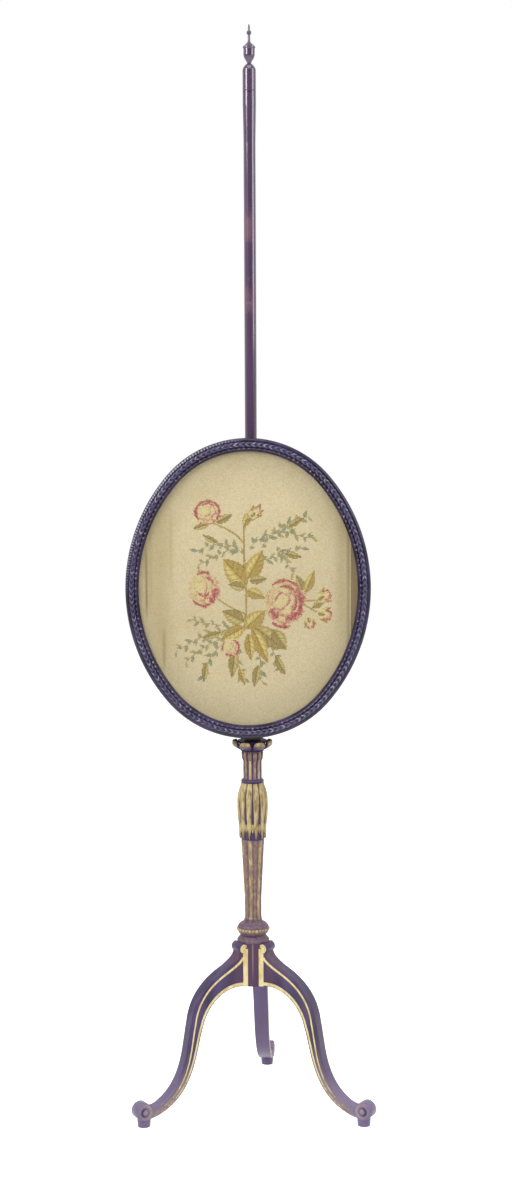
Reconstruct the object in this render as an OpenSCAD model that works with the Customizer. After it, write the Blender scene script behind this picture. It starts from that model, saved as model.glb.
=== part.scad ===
// Pole screen: a tripod stand, a turned pole and an oval needlework panel that slides and turns on it.
// The origin is on the floor under the pole's axis, +Z is up, and the panel faces -Y.

/* [Legs] */
// Height of the hub's underside above the floor
hub_rise = 187.5; // [150:0.5:240]
// Distance from the pole's axis to the middle of a toe scroll
leg_reach = 189; // [160:1:240]
// Width of a leg at the hub
leg_top_w = 25; // [20:0.5:28]
// Width of a leg at the toe
leg_toe_w = 18.5; // [14:0.5:22]
// Distance from the pole's axis to the knee, on the leg's upper edge
knee_out = 111; // [95:1:125]
// Drop from the hub's underside to the knee
knee_drop = 44; // [30:1:60]
// Depth of a leg at the knee, from upper to lower edge
knee_depth = 20; // [14:0.5:26]
// Radius of the toe scroll
toe_r = 13; // [10:0.5:16]
// Width of the toe scroll
toe_w = 22; // [18:0.5:28]
// Radius of the ear scroll at the top of a leg
ear_r = 6.5; // [4:0.25:9]
// Width of the ear scroll
ear_w = 26; // [22:0.5:30]
// Distance from the hub's surface to the middle of the ear scroll
ear_out = 3; // [1:0.5:5]
// Distance from the hub's surface to the hollow below the ear
cove_out = 26; // [20:0.5:32]
// Drop from the hub's top to the hollow below the ear
cove_drop = 33; // [26:0.5:38]
// Angle by which the rear leg stands off the middle
rear_leg_turn = 6.5; // [0:0.5:12]

/* [Feet] */
// Visible height of a peg foot
peg_h = 10.5; // [8:0.5:20]
// Radius of a peg foot at its seat
peg_r = 10; // [7:0.25:11]
// Radius of a peg foot at the floor
peg_floor_r = 9; // [6:0.25:10]
// Distance that a peg foot stands in from the middle of the toe scroll
peg_inset = 2.75; // [0:0.25:4]
// Depth that a peg is let into the toe
peg_seat = 4; // [2:0.5:6]
// Radius of the dowel on a peg
dowel_r = 4; // [3:0.25:5]
// Length of the dowel on a peg
dowel_len = 10; // [6:0.5:12]

/* [Hub] */
// Radius of the hub
hub_r = 23.5; // [21:0.5:28]
// Height of the hub
hub_h = 65; // [55:1:80]
// Depth of a leg's dovetail in the hub
dovetail_depth = 11; // [8:0.5:12]
// Width of the dovetail at the hub's surface
dovetail_neck = 11; // [8:0.5:13]
// Width of the dovetail at its inner end
dovetail_tail = 15; // [13:0.5:17]
// Solid wood above the dovetail slots
hub_crown = 12; // [8:1:20]

/* [Stem] */
// Height of the beaded collar
collar_h = 31; // [26:0.5:38]
// Greatest radius of the collar
collar_r = 25; // [23:0.25:28]
// Radius of the beads round the collar
collar_bead_r = 2.4; // [1.5:0.1:3]
// Number of beads round the collar
collar_beads = 28; // [16:1:32]
// Height of the fluted shaft
shaft_h = 124; // [100:1:160]
// Radius of the shaft at its slimmest
shaft_slim_r = 12.8; // [11:0.1:15]
// Radius of the shaft under the bulb
shaft_top_r = 17.4; // [15.5:0.1:19]
// Radius of the shaft at its foot
shaft_foot_r = 14; // [13.5:0.25:17]
// Number of flutes round the shaft and the neck
flutes = 12; // [8:1:16]
// Depth of a flute
flute_depth = 1.4; // [0.6:0.1:2]
// Height of the leaf bulb
bulb_h = 86.5; // [70:0.5:100]
// Greatest radius of the leaf bulb
bulb_r = 23.2; // [21:0.2:26]
// Number of leaves round the bulb
bulb_leaves = 12; // [8:1:14]
// Depth of the carving between the leaves
leaf_cut = 2.2; // [1:0.1:3]
// Height of the neck with its ring
neck_h = 46.5; // [40:0.5:70]
// Radius of the fluted neck
neck_r = 14.2; // [13:0.1:17]
// Height of the plain ring under the neck
neck_ring_h = 4.5; // [3:0.5:10]
// Radius of the plain ring under the neck
neck_ring_r = 17; // [15.5:0.25:19]
// Height of the plain band at the top of the neck
neck_band_h = 8; // [5:0.5:12]
// Distance that the band stands out from the neck
neck_band_out = 2.4; // [1:0.1:3]
// Height of the capital
capital_h = 16; // [12:0.5:24]
// Reach of the capital's leaf tips from the axis
capital_r = 30; // [26:0.5:34]
// Number of leaves round the capital
capital_leaves = 8; // [6:1:10]
// Depth of the notches between the capital's leaf tips
capital_notch = 5; // [2:0.25:6]
// Distance from the capital's leaf tips in to its top disc
capital_disc_inset = 6; // [4:0.5:9]
// Radius of the spigot that centres the capital on the neck
capital_spigot_r = 10; // [8:0.25:12]
// Height of the spigot that centres the capital on the neck
capital_spigot_h = 6; // [3:0.5:8]
// Radius of the tenons that join the stem's sections
stem_tenon_r = 7; // [5:0.25:8]
// Length of the tenons that join the stem's sections
stem_tenon_len = 20; // [14:1:26]
// Radius of the shaft's tenon in the hub
hub_tenon_r = 8; // [6:0.25:9]
// Depth of the shaft's tenon in the hub
hub_tenon_len = 40; // [25:1:48]

/* [Pole] */
// Length of the pole between the capital and the cap
pole_len = 947; // [800:1:1100]
// Radius of the pole
pole_r = 8.8; // [7.5:0.1:10]
// Radius of the pole under its cap, and of the cap
cap_r = 9.75; // [8:0.05:11]
// Length of the flare below the cap
flare_len = 72; // [40:1:120]
// Radius of the pole's tenon in the stem
pole_tenon_r = 6; // [4.5:0.25:6.5]
// Length of the pole's tenon in the stem
pole_tenon_len = 55; // [40:1:58]
// Height of the domed cap
cap_h = 41; // [30:1:60]
// Height of the cap's dome
dome_h = 10; // [5:0.5:12]
// Radius of the spigots on the pole and the finial
spigot_r = 2.4; // [1.5:0.1:4]
// Length of the spigots on the pole and the finial
spigot_len = 14; // [8:1:18]
// Greatest radius of the finial's urn
urn_r = 9.2; // [7:0.1:12]
// Height of the urn to its rim
urn_h = 23.5; // [18:0.5:30]
// Height of the urn's lid
lid_h = 8.5; // [6:0.5:14]
// Length of the stalk between the lid and the knop
stalk_h = 8; // [3:0.5:10]
// Radius of the knop
knop_r = 3.6; // [2.6:0.1:5]
// Length of the point above the knop
tip_h = 9; // [3:0.2:12]

/* [Frame] */
// Width of the oval frame over its moulding
frame_span = 360; // [320:1:400]
// Height of the oval frame over its moulding
frame_h = 442; // [410:1:470]
// Angle from the level at which the frame's side arcs run into its end arcs
frame_join_angle = 40.5; // [36:0.5:46]
// Face width of the moulding
frame_w = 19.4; // [18:0.1:24]
// Depth of the moulding from back to crest
frame_depth = 22; // [20:0.5:28]
// Radius of the plain outer round
outer_round_r = 5; // [4:0.25:6]
// Drop from the frame's crest to the top of the outer round
outer_drop = 3.5; // [2:0.25:6]
// Radius of the carved middle round
carved_round_r = 3.75; // [3:0.25:5]
// Radius of the inner bead
inner_bead_r = 1.3; // [1:0.1:1.8]
// Width of the grooves between the moulding's members
quirk_w = 0.5; // [0.3:0.05:1]
// Thickness of the lip at the frame's inner edge
lip_t = 1.5; // [1:0.1:2]
// Width of the rebate at the back
rebate_w = 5.5; // [4:0.25:7]
// Depth of the rebate from the back
rebate_depth = 12; // [10:0.25:13]
// Height of the frame's lower edge above the capital
frame_lift = 6.6; // [4:0.2:12]
// Gap between the pole and the frame's back
back_gap = 5; // [4.5:0.25:9]
// Distance that the frame's middle hangs to the left of the pole
panel_shift = 5; // [0:0.5:8]

/* [Panel] */
// Thickness of the panel board
board_t = 6; // [4:0.25:7]
// Thickness of the needlework
needlework_t = 1.2; // [0.8:0.1:2]
// Distance from the panel's middle to the needlework's right-hand edge
needlework_right = 151; // [145:0.5:155]
// Radius of a brad
brad_r = 0.8; // [0.5:0.05:1.2]
// Length of a brad
brad_len = 13; // [9:0.5:15]
// Depth of a brad in the frame
brad_grip = 8; // [5:0.5:9]
// Place of a brad along its frame arc, as a share of the arc
brad_place = 0.22; // [0.1:0.01:0.4]

/* [Fittings] */
// Thickness of an eye's plate
plate_t = 2.5; // [1.5:0.1:3.5]
// Height of an eye's plate
plate_h = 11; // [9:0.5:12]
// Distance between an eye's two screws
screw_span = 36; // [30:1:44]
// Distance from the frame's crest to the middle of an eye's plate
eye_drop = 8.6; // [8:0.1:9.5]
// Radius of the eye round the pole
eye_r = 13; // [12:0.25:13.5]
// Radius of a screw's shank
screw_r = 1.5; // [1:0.1:2]
// Radius of a screw's head
screw_head_r = 3; // [2.4:0.1:4]
// Length of a screw below its head
screw_len = 9; // [6:0.5:10]
// Radius of the thumbscrew's shank
thumb_shank_r = 2.5; // [2:0.1:3]
// Radius of the thumbscrew's boss on the upper eye
boss_r = 5.5; // [4.5:0.25:6]
// Length of the boss
boss_len = 7; // [5:0.5:10]
// Radius of the thumb piece
thumb_r = 9; // [7:0.5:12]
// Thickness of the thumb piece
thumb_t = 4; // [3:0.25:5]

/* [Clearances] */
// Gap round glued tenons, dowels and screws
glue_gap = 0.05; // [0.02:0.01:0.1]
// Gap between the pole and what turns or slides on it
running_gap = 0.08; // [0.04:0.01:0.1]
// Gap under the lower eye, and round the board in the rebate
seat_gap = 0.3; // [0.2:0.05:0.5]

/* [Hidden] */
$fn = 64;

left_azimuth = 210;
right_azimuth = 330;
rear_azimuth = 90 - rear_leg_turn;
azimuths = [left_azimuth, right_azimuth, rear_azimuth];

// Heights of the stem's joints, from the floor up
hub_top = hub_rise + hub_h;
collar_top = hub_top + collar_h;
shaft_top = collar_top + shaft_h;
bulb_top = shaft_top + bulb_h;
neck_top = bulb_top + neck_h;
capital_top = neck_top + capital_h;
pole_top = capital_top + pole_len;
cap_top = pole_top + cap_h;

// Toe scroll and the seat of its peg
toe_z = peg_h + toe_r;
peg_out = leg_reach - peg_inset;
peg_top = peg_h + peg_seat;

// Slope of the line across a leg's depth at the knee
knee_slope = 20;

// Four-centre oval: the side arcs are tangent to the end arcs
half_w = frame_span / 2;
half_h = frame_h / 2;
centre_gap = (half_h - half_w) / (cos(frame_join_angle) + sin(frame_join_angle) - 1);
end_centre = centre_gap * sin(frame_join_angle);
side_centre = centre_gap * cos(frame_join_angle);
frame_end_r = half_h - end_centre;
frame_side_r = half_w + side_centre;
frame_mid_z = capital_top + frame_lift + half_h;
frame_back_y = -(pole_r + back_gap);

// Each frame arc: its centre in the panel's plane, radius, first angle and sweep
side_sweep = 2 * frame_join_angle;
end_sweep = 180 - side_sweep;
top_arc = [[0, end_centre], frame_end_r, frame_join_angle, end_sweep];
right_arc = [[-side_centre, 0], frame_side_r, -frame_join_angle, side_sweep];
bottom_arc = [[0, -end_centre], frame_end_r, 180 + frame_join_angle, end_sweep];
left_arc = [[side_centre, 0], frame_side_r, 180 - frame_join_angle, side_sweep];
arcs = [right_arc, top_arc, left_arc, bottom_arc];

// Depths in the panel, measured forward from the frame's back
needlework_front = rebate_depth - seat_gap;
board_front = needlework_front - needlework_t;
board_back = board_front - board_t;
brad_depth = board_back - brad_r;

// The eyes are screwed to the wood beside the rebate
rail_wood = frame_w - rebate_w;
eye_rise = half_h - eye_drop;
upper_eye_z = frame_mid_z + eye_rise;
lower_eye_z = frame_mid_z - eye_rise;
lower_eye_foot = capital_top + seat_gap;
eye_bore_r = pole_r + running_gap;
boss_end = eye_r + boss_len;

wood_color = "#5c4c74";
gilt_color = "#c7a85c";
pole_color = "#54455c";
frame_color = "#39335a";
canvas_color = "#cdbd92";
board_color = "#7a5f45";
brass_color = "#b08d45";

// Points of a cubic curve through its two ends, bent by its two handles
function curve(a, b, c, d, n = 14) =
    [for (i = [0:n]) let (t = i / n, u = 1 - t) u^3 * a + 3 * u^2 * t * b + 3 * u * t^2 * c + t^3 * d];

// Points of a circular arc in the plane
function arc(centre, r, from, to, n = 12) =
    [for (i = [0:n]) let (a = from + (to - from) * i / n) centre + r * [cos(a), sin(a)]];

// Outline of the oval, drawn in from the frame's outer edge; each arc stops short of the next one's start
function oval(inset, n = 24) =
    [for (s = arcs) each arc(s[0], s[1] - inset, s[2], s[2] + s[3] * (n - 1) / n, n - 1)];

// Solid through rings of equal count; each ring is a height and a list of radii round the axis
module ringed_solid(heights, radii) {
    rings = len(heights);
    n = len(radii[0]);
    sides = [for (j = [0:rings - 1]) for (k = [0:n - 1])
        [radii[j][k] * cos(360 * k / n), radii[j][k] * sin(360 * k / n), heights[j]]];
    ends = [[0, 0, heights[0]], [0, 0, heights[rings - 1]]];
    foot = rings * n;
    head = foot + 1;
    walls = [for (j = [0:rings - 2]) for (k = [0:n - 1]) let (m = (k + 1) % n)
        each [[j * n + k, (j + 1) * n + k, (j + 1) * n + m], [j * n + k, (j + 1) * n + m, j * n + m]]];
    floors = [for (k = [0:n - 1]) let (m = (k + 1) % n)
        each [[foot, k, m], [head, (rings - 1) * n + m, (rings - 1) * n + k]]];
    polyhedron(concat(sides, ends), concat(walls, floors));
}

// Place in a repeat round the axis: 0 in the middle of a leaf or reed, 1 between two of them
function from_middle(k, per_repeat) = abs(2 * (k % per_repeat) / per_repeat - 1);

// Smooth step from 0 to 1
function ease(t) = let (u = max(0, min(1, t))) u * u * (3 - 2 * u);

// Leg, drawn along +X and turned to its azimuth

// Side view of a leg as [distance from the axis, height]
function leg_outline() =
    let (knee = [knee_out, hub_rise - knee_drop],
         under_knee = knee - knee_depth * [cos(knee_slope), sin(knee_slope)],
         cove = [hub_r + cove_out, hub_top - cove_drop],
         toe_back = [leg_reach - 1.3 * toe_r, toe_z + 0.3 * toe_r],
         toe_under = [leg_reach - 1.75 * toe_r, toe_z - 0.62 * toe_r])
    concat(
        [[0, hub_top], [hub_r + 5, hub_top]],
        curve([hub_r + 8, hub_top - 10], [hub_r + 8, hub_top - 20], cove + [-9, 6], cove, 6),
        curve(cove, cove + [32, -15], knee + [-5, 38], knee),
        curve(knee, knee + [9, -39], toe_back + [-54, 23], toe_back),
        [[leg_reach, toe_z], [leg_reach, toe_z - toe_r]],
        curve(toe_under, toe_under + [-62, 23], under_knee + [12, -32], under_knee),
        curve(under_knee, under_knee + [-9, 36], [hub_r + 27, hub_rise + 6], [hub_r - 1, hub_rise]),
        [[0, hub_rise]]
    );

// Leg without its seat and dowel hole
module leg_body() {
    half_top = leg_top_w / 2;
    half_toe = leg_toe_w / 2;
    toe_end = leg_reach + toe_r;
    difference() {
        union() {
            intersection() {
                rotate([90, 0, 0])
                    linear_extrude(leg_top_w, center = true) polygon(leg_outline());
                linear_extrude(hub_top)
                    polygon([[0, -half_top], [hub_r, -half_top], [toe_end, -half_toe],
                             [toe_end, half_toe], [hub_r, half_top], [0, half_top]]);
            }
            translate([hub_r + ear_out, 0, hub_top - ear_r]) rotate([90, 0, 0])
                cylinder(ear_w, ear_r, ear_r, center = true);
            translate([leg_reach, 0, toe_z]) rotate([90, 0, 0])
                cylinder(toe_w, toe_r, toe_r, center = true);
        }
        translate([0, 0, hub_rise - 1]) cylinder(hub_h + 2, hub_r + glue_gap, hub_r + glue_gap);
    }
}

// Plan of a dovetail, larger all round by the gap
module dovetail_plan(gap) {
    inner = hub_r - dovetail_depth - gap;
    outer = hub_r + 1;
    flare = (dovetail_tail - dovetail_neck) / 2 / dovetail_depth;
    tail = dovetail_neck / 2 + flare * (hub_r - inner) + gap;
    neck = dovetail_neck / 2 - flare + gap;
    polygon([[inner, -tail], [outer, -neck], [outer, neck], [inner, tail]]);
}

module leg(azimuth) {
    rotate([0, 0, azimuth]) difference() {
        union() {
            leg_body();
            translate([0, 0, hub_rise])
                linear_extrude(hub_h - hub_crown - seat_gap) dovetail_plan(0);
        }
        translate([peg_out, 0, -1])
            cylinder(peg_top + 1, peg_r + glue_gap, peg_r + glue_gap);
        translate([peg_out, 0, 0])
            cylinder(peg_top + dowel_len + seat_gap, dowel_r + glue_gap, dowel_r + glue_gap);
    }
}

module leg_left() { color(wood_color) leg(left_azimuth); }
module leg_right() { color(wood_color) leg(right_azimuth); }
module leg_rear() { color(wood_color) leg(rear_azimuth); }

// Turned peg with a dowel that goes up into the toe
module foot(azimuth) {
    rotate([0, 0, azimuth]) translate([peg_out, 0, 0]) {
        cylinder(peg_h, peg_floor_r, peg_r);
        translate([0, 0, peg_h]) cylinder(peg_seat, peg_r, peg_r);
        translate([0, 0, peg_h]) cylinder(peg_seat + dowel_len, dowel_r, dowel_r);
    }
}

module foot_left() { color(wood_color) foot(left_azimuth); }
module foot_right() { color(wood_color) foot(right_azimuth); }
module foot_rear() { color(wood_color) foot(rear_azimuth); }

// Hub with a dovetail slot for each leg and a socket for the shaft
module hub() {
    color(wood_color) difference() {
        translate([0, 0, hub_rise]) cylinder(hub_h, hub_r, hub_r);
        for (a = azimuths)
            rotate([0, 0, a]) translate([0, 0, hub_rise - 1])
                linear_extrude(hub_h - hub_crown + 1) dovetail_plan(glue_gap);
        translate([0, 0, hub_top - hub_tenon_len - seat_gap])
            cylinder(hub_tenon_len + seat_gap + 1, hub_tenon_r + glue_gap, hub_tenon_r + glue_gap);
    }
}

// Collar: a full round over a narrow waist, with a row of beads on its crest
module base_collar() {
    bead_z = 0.6 * collar_h;
    round_r = 0.33 * collar_h;
    crest_r = collar_r - collar_bead_r / 2;
    bore_r = hub_tenon_r + glue_gap;
    top_r = shaft_foot_r;
    fillet = 0.7;
    color(wood_color) translate([0, 0, hub_top]) {
        rotate_extrude() polygon(concat(
            [[bore_r, 0], [hub_r + fillet, 0], [hub_r + fillet, 0.09 * collar_h]],
            arc([crest_r - round_r, bead_z], round_r, -62, 75),
            [[top_r + 1, collar_h - 1.5], [top_r, collar_h], [bore_r, collar_h]]
        ));
        for (k = [0:collar_beads - 1])
            rotate([0, 0, 360 * k / collar_beads]) translate([crest_r - collar_bead_r / 2, 0, bead_z])
                sphere(collar_bead_r, $fn = 24);
    }
}

// Shaft: short flare at the foot, straight slim stretch, taper out to the bulb
flute_points = 8;

function shaft_profile() = [
    [0, shaft_foot_r, 0], [2, shaft_foot_r - 0.6, 0], [5, shaft_slim_r + 0.2, 0.5], [8, shaft_slim_r, 1],
    [34, shaft_slim_r, 1], [shaft_h - 10, shaft_top_r - 0.5, 1], [shaft_h - 5, shaft_top_r, 0.5],
    [shaft_h, shaft_top_r, 0]
];

// Radii round a fluted ring: full on the reeds and cut between them
function fluted_ring(r, share) =
    [for (k = [0:flutes * flute_points - 1])
        r - share * flute_depth * from_middle(k, flute_points)^2];

module fluted_shaft() {
    color(gilt_color) {
        translate([0, 0, collar_top]) ringed_solid(
            [for (p = shaft_profile()) p[0]], [for (p = shaft_profile()) fluted_ring(p[1], p[2])]);
        translate([0, 0, hub_top - hub_tenon_len])
            cylinder(hub_tenon_len + collar_h + 5, hub_tenon_r, hub_tenon_r);
        translate([0, 0, shaft_top - 5])
            cylinder(stem_tenon_len + 5, stem_tenon_r, stem_tenon_r);
    }
}

// Bulb: two tiers of leaves that point down, the upper one between the lower one's leaves
leaf_points = 8;

function bulb_profile() = [
    [0, shaft_top_r + 1], [4, shaft_top_r + 2], [9, bulb_r - 3.2], [16, bulb_r - 2.9], [23, bulb_r - 2.6],
    [29, bulb_r - 1.6], [36, bulb_r - 0.6], [44, bulb_r], [bulb_h - 26, bulb_r], [bulb_h - 18, bulb_r - 1],
    [bulb_h - 11, bulb_r - 3], [bulb_h - 5, neck_ring_r + 0.9], [bulb_h, neck_ring_r]
];

// Half the width of a leaf at a height above its tip, where 1 reaches the next leaf's middle
function leaf_half_w(z, tip, spread) = min(0.85, 0.9 * sqrt(max(0, z - tip) / spread));

function bulb_ring(z, r) =
    [for (k = [0:bulb_leaves * leaf_points - 1])
        let (lower = from_middle(k, leaf_points),
             upper = 1 - lower,
             low_cut = ease((lower - leaf_half_w(z, -2, 20)) / 0.25),
             on_upper = 1 - ease((upper - leaf_half_w(z, 24, 16)) / 0.25),
             fade = ease((bulb_h - z) / 14))
        r - fade * leaf_cut * (on_upper > 0.5 ? 0 : 0.35 + 0.65 * low_cut)];

module leaf_bulb() {
    socket_r = stem_tenon_r + glue_gap;
    socket_len = stem_tenon_len + seat_gap;
    color(gilt_color) translate([0, 0, shaft_top]) difference() {
        ringed_solid([for (p = bulb_profile()) p[0]], [for (p = bulb_profile()) bulb_ring(p[0], p[1])]);
        translate([0, 0, -1]) cylinder(socket_len + 1, socket_r, socket_r);
        translate([0, 0, bulb_h - socket_len]) cylinder(socket_len + 1, socket_r, socket_r);
    }
}

// Neck: plain ring, then straight flutes, bored for the pole's tenon
module fluted_neck() {
    flute_r = 0.69 * PI * neck_r / flutes;
    flute_out = neck_r + flute_r - flute_depth;
    band_z = neck_h - neck_band_h;
    color(gilt_color) translate([0, 0, bulb_top]) difference() {
        union() {
            rotate_extrude() polygon([
                [0, 0], [neck_ring_r, 0], [neck_ring_r, neck_ring_h - 2], [neck_ring_r - 2, neck_ring_h],
                [neck_r, neck_ring_h], [neck_r, band_z], [neck_r + neck_band_out, band_z + 2],
                [neck_r + neck_band_out, neck_h], [0, neck_h]
            ]);
            translate([0, 0, -stem_tenon_len]) cylinder(stem_tenon_len + 1, stem_tenon_r, stem_tenon_r);
            translate([0, 0, neck_h - 1])
                cylinder(capital_spigot_h + 1, capital_spigot_r, capital_spigot_r);
        }
        for (k = [0:flutes - 1])
            rotate([0, 0, 360 * (k + 0.5) / flutes]) translate([flute_out, 0, neck_ring_h + 1])
                cylinder(band_z - neck_ring_h - 2, flute_r, flute_r);
        translate([0, 0, capital_top - bulb_top - pole_tenon_len - seat_gap])
            cylinder(pole_tenon_len, pole_tenon_r + running_gap, pole_tenon_r + running_gap);
    }
}

// Capital: leaves that turn outward under a plain disc
capital_points = 10;

function capital_profile() = [
    [0, neck_r + 2.6, 0], [0.2, neck_r + 3.4, 0.15], [0.42, neck_r + 6, 0.4], [0.62, capital_r - 5, 0.8],
    [0.76, capital_r - 0.8, 1], [0.84, capital_r, 1], [0.9, capital_r - 0.8, 1], [0.94, capital_r - 3.5, 0.8]
];

function capital_ring(r, share) =
    [for (k = [0:capital_leaves * capital_points - 1])
        r - capital_notch * share * from_middle(k, capital_points)^2];

module capital() {
    disc_r = capital_r - capital_disc_inset;
    color(gilt_color) translate([0, 0, neck_top]) difference() {
        union() {
            ringed_solid([for (p = capital_profile()) p[0] * capital_h],
                         [for (p = capital_profile()) capital_ring(p[1], p[2])]);
            translate([0, 0, 0.8 * capital_h]) cylinder(0.2 * capital_h, disc_r, disc_r);
        }
        translate([0, 0, -1])
            cylinder(capital_h + 2, pole_tenon_r + running_gap, pole_tenon_r + running_gap);
        translate([0, 0, -1]) cylinder(
            capital_spigot_h + seat_gap + 1, capital_spigot_r + glue_gap, capital_spigot_r + glue_gap);
    }
}

// Pole: tenon, straight rod, flare to the cap and a spigot
module pole() {
    color(pole_color) translate([0, 0, capital_top]) rotate_extrude() polygon([
        [0, -pole_tenon_len], [pole_tenon_r - 1, -pole_tenon_len], [pole_tenon_r, -pole_tenon_len + 1],
        [pole_tenon_r, 0], [pole_r, 0], [pole_r, pole_len - flare_len],
        [cap_r, pole_len - 0.25 * flare_len], [cap_r, pole_len],
        [spigot_r, pole_len], [spigot_r, pole_len + spigot_len], [0, pole_len + spigot_len]
    ]);
}

// Cap: straight drum with a shallow ring at its foot and a dome, bored from both ends
module pole_cap() {
    bore_r = spigot_r + glue_gap;
    bore_len = spigot_len + seat_gap;
    drum_h = cap_h - dome_h;
    color(pole_color) translate([0, 0, pole_top]) difference() {
        rotate_extrude() polygon(concat(
            [[0, 0], [cap_r, 0], [cap_r, 1.5], [cap_r - 0.5, 2], [cap_r, 2.5]],
            curve([cap_r, drum_h], [cap_r, drum_h + 0.35 * dome_h],
                  [0.62 * cap_r, drum_h + 0.82 * dome_h], [0.28 * cap_r, cap_h], 8),
            [[0, cap_h]]
        ));
        translate([0, 0, -1]) cylinder(bore_len + 1, bore_r, bore_r);
        translate([0, 0, cap_h - bore_len]) cylinder(bore_len + 1, bore_r, bore_r);
    }
}

// Finial: a footed urn with an everted rim, a lid, a bead and a point
module finial() {
    foot_r = 0.3 * urn_r;
    wall_r = urn_r - 0.9;
    stalk_r = 0.5 * knop_r;
    lid_top = urn_h + lid_h;
    knop_z = lid_top + stalk_h + 0.9 * knop_r;
    point_z = knop_z + 0.9 * knop_r;
    color(pole_color) translate([0, 0, cap_top]) rotate_extrude() polygon(concat(
        [[0, -spigot_len], [spigot_r, -spigot_len], [spigot_r, 0]],
        curve([foot_r, 0], [0.45 * urn_r, 0.15 * urn_h], [0.87 * urn_r, 0.3 * urn_h],
              [wall_r, 0.5 * urn_h], 8),
        [[wall_r, urn_h - 3], [urn_r, urn_h - 1.5], [urn_r, urn_h]],
        curve([urn_r - 0.8, urn_h + 0.5], [0.6 * urn_r, urn_h + 0.5 * lid_h],
              [stalk_r + 0.3, urn_h + 0.6 * lid_h], [stalk_r, lid_top], 6),
        arc([0, knop_z], knop_r, -60, 60, 10),
        [[0.42 * knop_r, point_z + 0.5], [0.42 * knop_r, point_z + 0.55 * tip_h],
         [0.5, point_z + tip_h], [0, point_z + tip_h]]
    ));
}

// Frame

// Section of the moulding: x runs in from the outer edge, y runs forward from the back
function moulding() =
    let (outer_mid = [outer_round_r, frame_depth - outer_drop - outer_round_r],
         carved_mid = [outer_round_r + quirk_w + carved_round_r, frame_depth - carved_round_r],
         bead_mid = carved_mid + [carved_round_r + quirk_w + inner_bead_r, -0.5 * inner_bead_r])
    concat(
        [[0, 0]],
        arc(outer_mid, outer_round_r, 180, 90, 8),
        [[outer_round_r + quirk_w, outer_mid[1] + outer_round_r - 1]],
        arc(carved_mid, carved_round_r, 180, 0, 14),
        [[bead_mid[0] - inner_bead_r, bead_mid[1]]],
        arc(bead_mid, inner_bead_r, 180, 0, 8),
        [[frame_w, rebate_depth + lip_t], [frame_w, rebate_depth],
         [rail_wood, rebate_depth], [rail_wood, 0]]
    );

// Places a drawing of the panel's plane on the frame's back, facing the front
module on_panel() {
    translate([-panel_shift, frame_back_y, frame_mid_z]) rotate([90, 0, 0]) children();
}

// Angles of a frame arc's two brads
function brad_angles(s) = [s[2] + brad_place * s[3], s[2] + (1 - brad_place) * s[3]];

// Round bar along a radius of a frame arc, between two distances in from the outer edge
module radial_bar(s, angle, from, to, depth, r) {
    translate([s[0][0], s[0][1], depth]) rotate([0, 0, angle]) translate([s[1] - to, 0, 0])
        rotate([0, 90, 0]) cylinder(to - from, r, r, $fn = 24);
}

// Distances of an eye's two screws from the pole's axis
screw_offsets = [-screw_span / 2, screw_span / 2];

module frame_arc(s) {
    on_panel() difference() {
        translate([s[0][0], s[0][1], 0]) rotate([0, 0, s[2]]) rotate_extrude(angle = s[3])
            polygon([for (p = moulding()) [s[1] - p[0], p[1]]]);
        for (a = brad_angles(s))
            radial_bar(s, a, rail_wood - brad_grip - seat_gap, rail_wood + 1, brad_depth, brad_r + glue_gap);
        children();
    }
}

// Screw holes in the back of a rail, at a height in the panel's plane
module rail_holes(rise) {
    for (x = screw_offsets)
        translate([x + panel_shift, rise, -1])
            cylinder(screw_len - plate_t + seat_gap + 1, screw_r + glue_gap, screw_r + glue_gap, $fn = 24);
}

module frame_top() { color(frame_color) frame_arc(top_arc) rail_holes(eye_rise); }
module frame_right() { color(frame_color) frame_arc(right_arc); }
module frame_bottom() { color(frame_color) frame_arc(bottom_arc) rail_holes(-eye_rise); }
module frame_left() { color(frame_color) frame_arc(left_arc); }

// Oval sheet in the rebate
module oval_sheet(from, thickness) {
    on_panel() translate([0, 0, from]) linear_extrude(thickness) polygon(oval(rail_wood + seat_gap));
}

module panel_board() { color(board_color) oval_sheet(board_back, board_t); }

// Needlework, which falls short of the frame on the right
module needlework() {
    right_x = needlework_right - panel_shift;
    color(canvas_color) intersection() {
        oval_sheet(board_front, needlework_t);
        translate([right_x - frame_span, frame_back_y - frame_depth, frame_mid_z - half_h])
            cube([frame_span, frame_depth, frame_h]);
    }
}

// Brads, which lie across the back of the board and grip the frame
module panel_brads() {
    color(brass_color) on_panel() for (s = arcs) for (a = brad_angles(s))
        radial_bar(s, a, rail_wood - brad_grip, rail_wood - brad_grip + brad_len, brad_depth, brad_r);
}

// Fittings

// Plate with rounded ends at a height, and an eye round the pole between a foot and a head
module eye(z, foot, head) {
    end_r = plate_h / 2;
    sink = screw_head_r - screw_r;
    difference() {
        union() {
            translate([-screw_span / 2, frame_back_y, z - end_r]) cube([screw_span, plate_t, plate_h]);
            for (x = screw_offsets)
                translate([x, frame_back_y, z]) rotate([-90, 0, 0]) cylinder(plate_t, end_r, end_r);
            translate([-0.6 * eye_r, frame_back_y, foot]) cube([1.2 * eye_r, -frame_back_y, head - foot]);
            translate([0, 0, foot]) cylinder(head - foot, eye_r, eye_r);
            children();
        }
        translate([0, 0, foot - 1]) cylinder(head - foot + 2, eye_bore_r, eye_bore_r);
        for (x = screw_offsets)
            translate([x, frame_back_y, z]) rotate([-90, 0, 0]) {
                translate([0, 0, -1]) cylinder(plate_t + 2, screw_r + glue_gap, screw_r + glue_gap);
                translate([0, 0, plate_t - sink])
                    cylinder(sink + 1, screw_r + glue_gap, screw_head_r + 1 + glue_gap);
            }
    }
}

// Round bar along +Y through the pole's axis at the upper eye
module cross_bar(from, to, r) {
    translate([0, from, upper_eye_z]) rotate([-90, 0, 0]) cylinder(to - from, r, r);
}

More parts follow.
